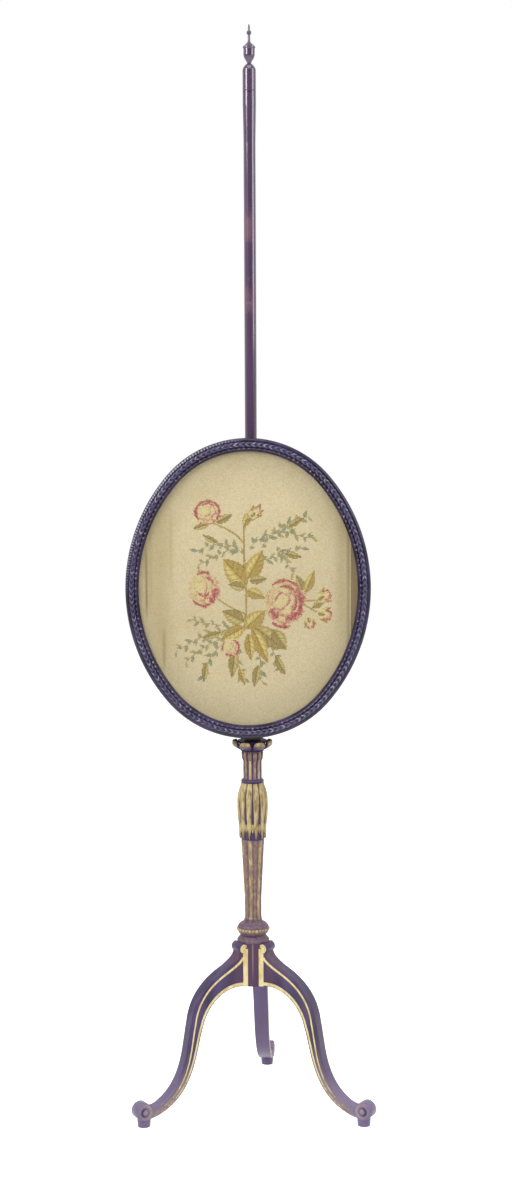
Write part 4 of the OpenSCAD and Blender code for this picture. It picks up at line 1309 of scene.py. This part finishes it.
class Stitches:
    """The worked canvas: a grid of stitches, each with its thread's colour."""

    CANVAS = shades("cabd97", "c4b58e", "cfc29e")
    LEAF = shades("baa257", "a18840", "866e32", "ccbb76")
    OLIVE = shades("a8965a", "8f7d42", "746436", "bcab70")
    SPRIG = shades("918c66", "7d7d5c", "9a936a", "6d7058")
    TEAL = shades("7b8471", "697363", "8b927a", "5c685a")
    ROSE = shades("d0c48f", "c4ac7c", "ba7c70", "a63f4f", "85263d")
    STRAW = shades("b3a768", "a3985e", "94894f", "beb27c")
    STEM = shades("a3884f", "87703d", "b39a60")

    # Half sizes of the part of the canvas that a painted shade darkens to full at its edge
    RIM = (0.163, 0.205)

    # Levels of a leaf's tones: its light half, its dark half, its midrib and the lit part of its light half
    LIGHT, DARK, RIB, LIT = 0.4, 1.3, 2.4, 3.5
    RIB_HALF_W = 0.0008
    TEETH = 8
    VEINS = 6

    # Rings of a rose from the outside in: petals, distance from the heart and reach, in the rose's radii
    PETAL_RINGS = ((7, 0.62, 0.42), (5, 0.42, 0.38), (3, 0.20, 0.32))

    SPRIG_STALK_W = 0.0012

    # Keeps a width above 0 where it is divided by
    TINY = 1e-9

    def __init__(self, stitch, left, right, half_h):
        columns = int((right - left) / stitch)
        rows = int(2 * half_h / stitch)
        self.x_edges = right - stitch * np.arange(columns, -1, -1)
        self.z_edges = -rows * stitch / 2 + stitch * np.arange(rows + 1)
        x_mid = (self.x_edges[1:] + self.x_edges[:-1]) / 2
        z_mid = (self.z_edges[1:] + self.z_edges[:-1]) / 2
        self.x, self.z = np.meshgrid(x_mid, z_mid)
        self.chance = np.random.RandomState(11).rand(*self.x.shape)
        self.other = np.random.RandomState(23).rand(*self.x.shape)
        self.tone = np.zeros(self.x.shape + (3,))
        self.ground()

    def ground(self):
        """Plain straw canvas, with a painted shade towards the oval's edge and painted light towards its top.
        """
        kind = (self.chance * len(self.CANVAS)).astype(int)
        self.tone[:] = np.array(self.CANVAS)[kind]
        rim = np.hypot(self.x / self.RIM[0], self.z / self.RIM[1])
        # Painted shade towards the rim and painted light towards the top
        shade = 1.01 - 0.21 * np.clip((rim - 0.70) / 0.30, 0, 1) + 0.06 * np.clip(self.z / 0.15, 0, 1)
        self.tone *= shade[..., None]
        self.plain = self.tone.copy()

    def lay(self, mask, tones, level, stray=0.9):
        """Stitches the places in mask with the tone at each level.

        stray says how far chance shifts the level.
        """
        pick = np.clip(np.floor(level + (self.chance - 0.5) * stray), 0, len(tones) - 1).astype(int)
        self.tone[mask] = np.array(tones)[pick][mask]

    def turned(self, at, degrees):
        """Distances along and across a direction from a place."""
        angle = math.radians(degrees)
        dx, dz = self.x - at[0], self.z - at[1]
        return dx * math.cos(angle) + dz * math.sin(angle), dz * math.cos(angle) - dx * math.sin(angle)

    def leaf(self, at, degrees, reach, width, tones, teeth=0.0):
        """A pointed leaf with a midrib, slanting veins and a light and a dark half."""
        along, across = self.turned(at, degrees)
        t = np.clip(along / reach, 0, 1)
        half = width / 2 * np.sin(math.pi * t ** 0.8) ** 0.9
        half = half * (1 + teeth * (np.abs((t * self.TEETH) % 1 - 0.5) * 2 - 0.5)) + self.TINY
        mask = (along > 0) & (along < reach) & (np.abs(across) < half)
        share = np.clip(across / half, -1, 1)
        vein = np.abs((t * self.VEINS - np.abs(share) * 1.1) % 1 - 0.5) < 0.13
        lit = (share > 0.25) & (share < 0.65) & (t > 0.2) & (t < 0.75) & ~vein
        level = np.where(share > 0, self.LIGHT, self.DARK) + 0.6 * vein + 0.5 * (np.abs(share) > 0.82)
        level = np.where(np.abs(across) < self.RIB_HALF_W, self.RIB, level)
        level = np.where(lit, self.LIT, level)
        self.lay(mask, tones, level)

    def petal(self, at, degrees, reach, width, dark):
        """One petal: cream in its middle, with a red lip that is broadest in the shade."""
        along, across = self.turned(at, degrees)
        rho = np.hypot(along / reach, across / width)
        shade = ((self.x - at[0]) * 0.75 - (self.z - at[1]) * 0.66) / max(reach, width)
        lip = np.clip((rho - 0.50) / 0.28, 0, 1) * (along > -0.2 * reach)
        level = 0.4 + 0.6 * np.clip(shade, -0.4, 1) + lip * (0.9 + 2.0 * dark) + 0.5 * dark
        self.lay(rho < 1, self.ROSE, level, 2.0)

    def lip(self, at, r, tall, start, end, width):
        """The red edge of a petal: an arc about the rose's heart, broadest half way along and ragged."""
        dx, dz = self.x - at[0], (self.z - at[1]) / tall
        share = ((np.degrees(np.arctan2(dz, dx)) - start) % 360) / (end - start)
        half = width / 2 * np.sqrt(np.sin(math.pi * np.clip(share, 0, 1)))
        half = half * (1 + 0.3 * np.sin(11 * share)) + self.TINY
        off = np.abs(np.hypot(dx, dz) - r) / half
        self.lay((share < 1) & (off < 0.6 + 0.8 * self.other), self.ROSE, 4.0 - 1.7 * off, 2.2)

    def rose(self, at, r, tall, turn, blush, lips):
        """A full rose: three rings of cream petals round a heart, and the red lips of some of them.

        blush says how pink the petals' edges are. Each lip has its share of the rose's radius, the angles
        of its two ends and its share of width.
        """
        for ring, (count, out, reach) in enumerate(self.PETAL_RINGS):
            middle = (at[0] - 0.10 * r * ring, at[1] + 0.05 * r * ring)
            for k in range(count):
                a = math.radians(turn + 360 * k / count)
                spot = (middle[0] + out * r * math.cos(a), middle[1] + out * r * tall * math.sin(a))
                shade = blush + 0.3 * max(0.0, math.cos(a + 0.7))
                self.petal(spot, math.degrees(a), reach * r, reach * r * 1.1, shade)
        for share, start, end, width in lips:
            self.lip(at, share * r, tall, start, end, width * r)

    def bud(self, at, degrees, reach):
        """A closed bud on two sepals."""
        a = math.radians(degrees)
        tip = (at[0] + 0.42 * reach * math.cos(a), at[1] + 0.42 * reach * math.sin(a))
        for turn in (-34, 34):
            self.leaf(at, degrees + turn, 0.85 * reach, 0.30 * reach, self.LEAF)
        for turn, dark in ((24, 1.0), (-24, 0.6), (0, 0.3)):
            self.petal(tip, degrees + turn, 0.46 * reach, 0.25 * reach, dark)
        self.leaf(at, degrees, 0.45 * reach, 0.26 * reach, self.OLIVE)

    def stem(self, route, width, tones):
        """A stalk along a curve."""
        for p in bezier(*route, 90):
            mask = np.hypot(self.x - p.x, self.z - p.y) < width / 2
            self.lay(mask, tones, self.other * 3)

    def sprig(self, route, count, leaf):
        """A thin stalk with loose small leaves, a long one and a short one to either side by turns."""
        self.stem(route, self.SPRIG_STALK_W, self.SPRIG)
        points = bezier(*route, count)
        for i in range(1, count + 1):
            way = points[i] - points[i - 1]
            heading = math.degrees(math.atan2(way.y, way.x))
            side = 1 if i % 2 else -1
            size = leaf * (0.8 + 0.4 * math.sin(2.4 * i) ** 2)
            long_turn = side * (52 + 14 * math.sin(1.7 * i))
            short_turn = side * (34 + 18 * math.sin(2.9 * i))
            tones = (self.STRAW, self.TEAL, self.SPRIG)[i % 3]
            self.leaf(points[i], heading + long_turn, size, size * 0.40, tones)
            self.leaf(points[i - 1], heading - short_turn, size * 0.8, size * 0.36, self.SPRIG)

    def crease_shade(self, at, reach, width, tone, depth):
        """Painted shade of a soft upright crease, strongest in its middle."""
        side = np.exp(-((self.x - at[0]) / width) ** 2)
        end = np.clip(2.2 - 2.2 * np.abs(self.z - at[1]) / (reach / 2), 0, 1)
        share = (side * end * depth)[..., None]
        self.tone = self.tone * (1 - share) + np.array(tone) * share

    def fade(self, share):
        """Lets the threads fade towards the canvas."""
        self.tone = self.tone * (1 - share) + self.plain * share


class Bouquet:
    """A bouquet in the usual manner of such panels: roses, buds, leaves and sprigs round a middle stalk.

    Its places and sizes are in millimetres from the panel's middle, as (x, z), and its angles in degrees.
    """

    MM = 0.001
    LEAF_TEETH = 0.12
    FADING = 0.10

    # Route, number of leaf pairs and size of the leaves
    SPRIGS = (
        (((-8, 52), (-26, 70), (-44, 72), (-74, 56)), 10, 11),
        (((-14, 60), (-34, 58), (-50, 48), (-72, 36)), 9, 10),
        (((2, 60), (24, 84), (44, 84), (60, 82)), 9, 11),
        (((20, 62), (44, 92), (62, 98), (88, 106)), 12, 11),
        (((14, 40), (36, 48), (50, 44), (78, 60)), 10, 11),
        (((44, 62), (52, 50), (58, 36), (66, 24)), 6, 10),
        (((56, 84), (70, 80), (82, 74), (94, 76)), 6, 10),
        (((-12, -56), (-44, -62), (-70, -66), (-106, -92)), 13, 11),
        (((-10, -60), (-48, -50), (-66, -52), (-84, -44)), 9, 10),
        (((-40, -74), (-60, -80), (-76, -92), (-92, -108)), 9, 10),
        (((-16, -66), (-44, -86), (-58, -92), (-66, -128)), 10, 11),
        (((8, -64), (20, -96), (16, -112), (20, -138)), 9, 11),
        (((20, -62), (36, -90), (44, -104), (46, -122)), 9, 11),
        (((-14, -80), (-22, -100), (-12, -118), (-8, -132)), 7, 11))

    # Route and width
    STALKS = (
        (((-6, -60), (2, -10), (-10, 40), (-4, 108)), 3.4),
        (((-5, 66), (-18, 84), (-34, 90), (-58, 100)), 2.8),
        (((-4, -10), (28, -14), (80, -20), (110, -16)), 2.4),
        (((80, -22), (92, -30), (100, -34), (112, -38)), 2.2),
        (((-4, -36), (-24, -30), (-40, -18), (-58, -4)), 2.4))

    # Place, heading, reach and width of the golden leaves and of the olive ones, in the order they are worked
    LEAVES = (
        (-2, 6, 132, 52, 31, "LEAF"), (0, 16, 62, 46, 25, "LEAF"), (-4, 2, 168, 26, 14, "OLIVE"),
        (2, 12, 8, 26, 13, "OLIVE"), (-2, -2, -22, 28, 17, "LEAF"), (-6, -48, 154, 36, 22, "OLIVE"),
        (-4, -58, 42, 40, 25, "LEAF"), (10, -56, -38, 54, 26, "OLIVE"), (6, -58, -66, 56, 19, "LEAF"),
        (-6, -56, 208, 38, 20, "LEAF"), (-20, -88, -96, 44, 15, "OLIVE"), (0, -66, -84, 40, 16, "LEAF"),
        (36, -60, -56, 36, 20, "OLIVE"), (84, -6, 68, 36, 14, "LEAF"), (80, -2, 112, 24, 13, "OLIVE"),
        (94, -28, 30, 24, 10, "OLIVE"), (-46, 98, 26, 26, 12, "OLIVE"), (-56, 96, 196, 26, 10, "OLIVE"),
        (-6, 92, 66, 26, 12, "LEAF"), (-4, 100, 30, 32, 11, "OLIVE"), (6, 104, 58, 26, 9, "OLIVE"),
        (-62, -108, -98, 30, 10, "OLIVE"), (14, -112, -100, 34, 12, "OLIVE"), (-14, -116, -72, 28, 9, "LEAF"),
        (40, -100, -62, 30, 11, "OLIVE"), (-40, -64, 196, 30, 11, "OLIVE"), (60, 92, 30, 24, 10, "OLIVE"),
        (54, 52, -12, 26, 10, "OLIVE"), (-46, 68, 150, 24, 9, "OLIVE"))

    # Place, radius, height as a share of width, turn, blush, and the lips as Stitches.rose takes them
    ROSES = (
        (53, -20, 29, 1.12, 10, 0.2, (
            (1.00, 30, 132, 0.16), (0.74, 10, 112, 0.18), (0.86, -52, 48, 0.42), (0.60, -36, 34, 0.20),
            (0.78, -88, -34, 0.42), (0.74, -158, -112, 0.44), (1.10, -126, -72, 0.20),
            (0.46, 96, 176, 0.12))),
        (-65, 0, 23, 1.15, 40, 0.1, (
            (0.94, 66, 122, 0.24), (0.76, -66, 8, 0.52), (0.92, -142, -58, 0.20), (0.70, 24, 82, 0.22),
            (0.36, -150, -20, 0.18))),
        (-59, 113, 19, 0.92, 75, 0.05, (
            (0.92, 96, 224, 0.32), (0.94, 14, 108, 0.32), (0.90, -40, 24, 0.28), (0.72, 40, 130, 0.16))),
        (-26, -86, 14, 0.95, 20, -0.1, (
            (0.86, -64, 84, 0.32), (0.90, -130, -74, 0.38), (0.88, 128, 216, 0.18))))

    # Place, heading and reach
    BUDS = ((4, 106, 42, 22), (102, -16, 28, 25), (102, -36, -12, 25), (88, -42, -74, 20))

    # Place of the middle, height, width, colour and strength of the painted shade in the canvas's creases
    CREASE_SHADES = (
        (-149, 10, 120, 1.8, "7d6a44", 0.9), (-143, 34, 150, 3.0, "a5956a", 0.5),
        (-113, 60, 130, 2.6, "ab9c70", 0.4), (-124, -88, 70, 2.6, "8a7850", 0.65),
        (-128, 10, 280, 18, "a8976a", 0.45), (137, 30, 240, 9, "a3946a", 0.45),
        (147, -10, 300, 2.4, "7d6a44", 0.55))

    def at(self, x, z):
        """Place on the canvas."""
        return (x * self.MM, z * self.MM)

    def route(self, spots):
        """Ends and handles of a curve on the canvas."""
        return [self.at(*spot) for spot in spots]

    def work(self, canvas):
        """Stitches the bouquet, fades it and lays the painted shade of the creases over it."""
        mm = self.MM
        for spots, count, size in self.SPRIGS:
            canvas.sprig(self.route(spots), count, size * mm)
        for spots, width in self.STALKS:
            canvas.stem(self.route(spots), width * mm, canvas.STEM)
        for x, z, degrees, reach, width, kind in self.LEAVES:
            tones = getattr(canvas, kind)
            canvas.leaf(self.at(x, z), degrees, reach * mm, width * mm, tones, self.LEAF_TEETH)
        for x, z, r, tall, turn, blush, lips in self.ROSES:
            canvas.rose(self.at(x, z), r * mm, tall, turn, blush, lips)
        for x, z, degrees, reach in self.BUDS:
            canvas.bud(self.at(x, z), degrees, reach * mm)
        canvas.fade(self.FADING)
        for x, z, reach, width, code, depth in self.CREASE_SHADES:
            canvas.crease_shade(self.at(x, z), reach * mm, width * mm, srgb(code), depth)


class AddPanel(bpy.types.Operator):
    """Stretch the worked canvas on its board"""
    bl_idname = "pole_screen.panel"
    bl_label = "Needlework panel"

    def execute(self, context):
        s = sizes("panel")
        dress(board_wood(), "panel_board")
        canvas = Stitches(s.stitch, -(HALF_W - s.canvas_inset), CANVAS_RIGHT, CANVAS_HALF_H)
        Bouquet().work(canvas)
        self.sheet(canvas, Oval(), s)
        return {"FINISHED"}

    def sheet(self, canvas, oval, s):
        """One face for each stitch inside the oval, on faint waves."""
        rows, columns = canvas.x.shape
        keep = oval.inside(canvas.x, canvas.z, s.canvas_inset)
        corner = np.arange((rows + 1) * (columns + 1)).reshape(rows + 1, columns + 1)
        quads = np.stack([corner[:-1, :-1], corner[:-1, 1:], corner[1:, 1:], corner[1:, :-1]], axis=-1)[keep]
        used, faces = np.unique(quads, return_inverse=True)
        faces = faces.reshape(-1, 4)
        x, z = np.meshgrid(canvas.x_edges, canvas.z_edges)
        x, z = x.ravel()[used], z.ravel()[used]
        slack = s.canvas_slack * np.sin(x * 55) * np.sin(z * 31 + 1.0)
        points = np.stack([PANEL_X + x, CANVAS_FRONT + s.canvas_lift + slack, PANEL_Z + z], axis=-1)
        piece = add_piece("worked_canvas", points, faces.tolist(), stitched_wool(), "panel",
                          ("needlework",))
        thread = piece.data.attributes.new("thread", "FLOAT_COLOR", "FACE")
        tones = np.ones((len(faces), 4), dtype=np.float32)
        tones[:, :3] = canvas.tone[keep]
        thread.data.foreach_set("color", tones.ravel())


class AddFittings(bpy.types.Operator):
    """Give the eyes, screws, brads and thumbscrew their aged brass"""
    bl_idname = "pole_screen.fittings"
    bl_label = "Brass fittings"

    def execute(self, context):
        dress(aged_brass(), "upper_eye", "lower_eye", "eye_screws", "panel_brads", "thumbscrew")
        return {"FINISHED"}


# Stage


# Place, width and height, and power of the soft boxes, which face the middle of the screen
SOFT_BOXES = {
    "left_softbox": ((-1.9, -1.5, 2.4), (1.0, 1.4), 56),
    "right_softbox": ((2.2, -1.0, 2.0), (1.3, 1.7), 36),
    "top_softbox": ((0.0, -1.2, 3.4), (2.0, 2.0), 34),
}
SCREEN_MIDDLE = Vector((0, 0, 0.8))

# Camera: place, tilt down and roll in degrees, lens and sensor in millimetres
CAMERA_PLACE = (0.0065, -2.868, 1.0315)
CAMERA_TILT = 5.06
CAMERA_ROLL = -0.26
CAMERA_LENS = 59.17
CAMERA_SENSOR = 36

FLOOR_HALF = 6.0
FLOOR_GLOW = (0.75, 0.75, 0.75)
SOFT_LIGHT = (0.95, 0.95, 1.0, 1)
SOFT_STRENGTH = 0.37
WHITE = (1, 1, 1, 1)
BLACK = (0, 0, 0)


class AddStage(bpy.types.Operator):
    """Lay the pale floor, set the soft lights and place the camera"""
    bl_idname = "pole_screen.stage"
    bl_label = "Stage"

    def execute(self, context):
        self.floor()
        self.surroundings()
        for name, (place, size, power) in SOFT_BOXES.items():
            self.lamp(name, place, size, power)
        self.camera()
        context.scene.view_settings.view_transform = "Standard"
        return {"FINISHED"}

    @staticmethod
    def seen(coat, mirrored=1.0):
        """1 for rays from the camera, from mirrors and through glass, and 0 for light on the object.

        mirrored is the share that mirrors show.
        """
        camera, mirror, glass = [coat.add("ShaderNodeLightPath", out=kind)
                                 for kind in ("Is Camera Ray", "Is Glossy Ray", "Is Transmission Ray")]
        return (camera + mirror * mirrored + glass).math("MINIMUM", 1.0)

    def floor(self):
        """A plain pale floor that shows white to the camera and keeps the shadow."""
        mesh = bpy.data.meshes.new("floor")
        corners = [(x * FLOOR_HALF, y * FLOOR_HALF, 0) for x, y in ((-1, -1), (1, -1), (1, 1), (-1, 1))]
        mesh.from_pydata(corners, [], [(0, 1, 2, 3)])
        floor = bpy.data.objects.new("floor", mesh)
        bpy.context.scene.collection.objects.link(floor)
        tones = sizes("colours")
        material, coat = new_coat("pale_floor")
        coat.surface({
            "Base Color": coat.mix(coat.noise(3, 2) * 0.05, tones.floor, tones.floor_cloud),
            "Roughness": 0.9,
            "Specular IOR Level": 0.1,
            "Emission Color": coat.mix(self.seen(coat), BLACK, FLOOR_GLOW),
            "Emission Strength": 1.0,
        })
        mesh.materials.append(material)

    def surroundings(self):
        """White behind the screen, a dimmer room before it, and a soft even light on the object."""
        world = bpy.data.worlds.new("studio")
        bpy.context.scene.world = world
        coat = Coat(world)
        soft = coat.add("ShaderNodeBackground", None, {"Color": SOFT_LIGHT, "Strength": SOFT_STRENGTH})
        white = coat.add("ShaderNodeBackground", None, {"Color": WHITE, "Strength": 1.0})
        way = coat.add("ShaderNodeTexCoord", out="Generated")
        behind = coat.add("ShaderNodeSeparateXYZ", None, [way], Y).step(-0.7, 0.2)
        both = coat.add("ShaderNodeMixShader", None, [self.seen(coat, behind), soft, white])
        coat.add("ShaderNodeOutputWorld", None, {"Surface": both})

    def lamp(self, name, place, size, power):
        """A soft box that faces the middle of the screen."""
        data = bpy.data.lights.new(name, "AREA")
        data.shape = "RECTANGLE"
        data.size, data.size_y = size
        data.energy = power
        lamp = bpy.data.objects.new(name, data)
        lamp.location = place
        aim = SCREEN_MIDDLE - Vector(place)
        lamp.rotation_euler = aim.to_track_quat("-Z", "Y").to_euler()
        bpy.context.scene.collection.objects.link(lamp)

    def camera(self):
        """The photograph's view: level with the panel's top, tilted a little down."""
        data = bpy.data.cameras.new("view")
        data.sensor_fit = "VERTICAL"
        data.sensor_height = CAMERA_SENSOR
        data.sensor_width = CAMERA_SENSOR
        data.lens = CAMERA_LENS
        camera = bpy.data.objects.new("view", data)
        pitch = Matrix.Rotation(math.radians(90 - CAMERA_TILT), 4, "X")
        roll = Matrix.Rotation(math.radians(CAMERA_ROLL), 4, "Z")
        camera.matrix_world = Matrix.Translation(CAMERA_PLACE) @ pitch @ roll
        bpy.context.scene.collection.objects.link(camera)
        bpy.context.scene.camera = camera


# Add-on


OPERATORS = (AddStage, AddLegs, AddStem, AddPole, AddFrame, AddPanel, AddFittings)
GROUPS = {"stand": StandSizes, "stem": StemSizes, "panel": PanelSizes, "colours": FinishColours}


class PoleScreenPanel(bpy.types.Panel):
    """Lists the pieces of the pole screen and their sizes"""
    bl_idname = "VIEW3D_PT_pole_screen"
    bl_label = "Pole Screen"
    bl_space_type = "VIEW_3D"
    bl_region_type = "UI"
    bl_category = "Pole Screen"

    def draw(self, context):
        for operator in OPERATORS:
            self.layout.operator(operator.bl_idname, text=operator.bl_label)
        for kind in GROUPS:
            box = self.layout.box()
            box.label(text=kind.capitalize())
            group = sizes(kind)
            for name in group.__annotations__:
                box.prop(group, name)


def register():
    for group in GROUPS.values():
        bpy.utils.register_class(group)
    for operator in (*OPERATORS, PoleScreenPanel):
        bpy.utils.register_class(operator)
    for kind, group in GROUPS.items():
        setattr(bpy.types.Scene, "screen_" + kind, bpy.props.PointerProperty(type=group))


def unregister():
    for kind in GROUPS:
        delattr(bpy.types.Scene, "screen_" + kind)
    for operator in (*OPERATORS, PoleScreenPanel):
        bpy.utils.unregister_class(operator)
    for group in GROUPS.values():
        bpy.utils.unregister_class(group)


def main():
    register()
    bpy.ops.pole_screen.stage()
    bpy.ops.pole_screen.legs()
    bpy.ops.pole_screen.stem()
    bpy.ops.pole_screen.pole()
    bpy.ops.pole_screen.frame()
    bpy.ops.pole_screen.panel()
    bpy.ops.pole_screen.fittings()


if __name__ == "__main__":
    main()
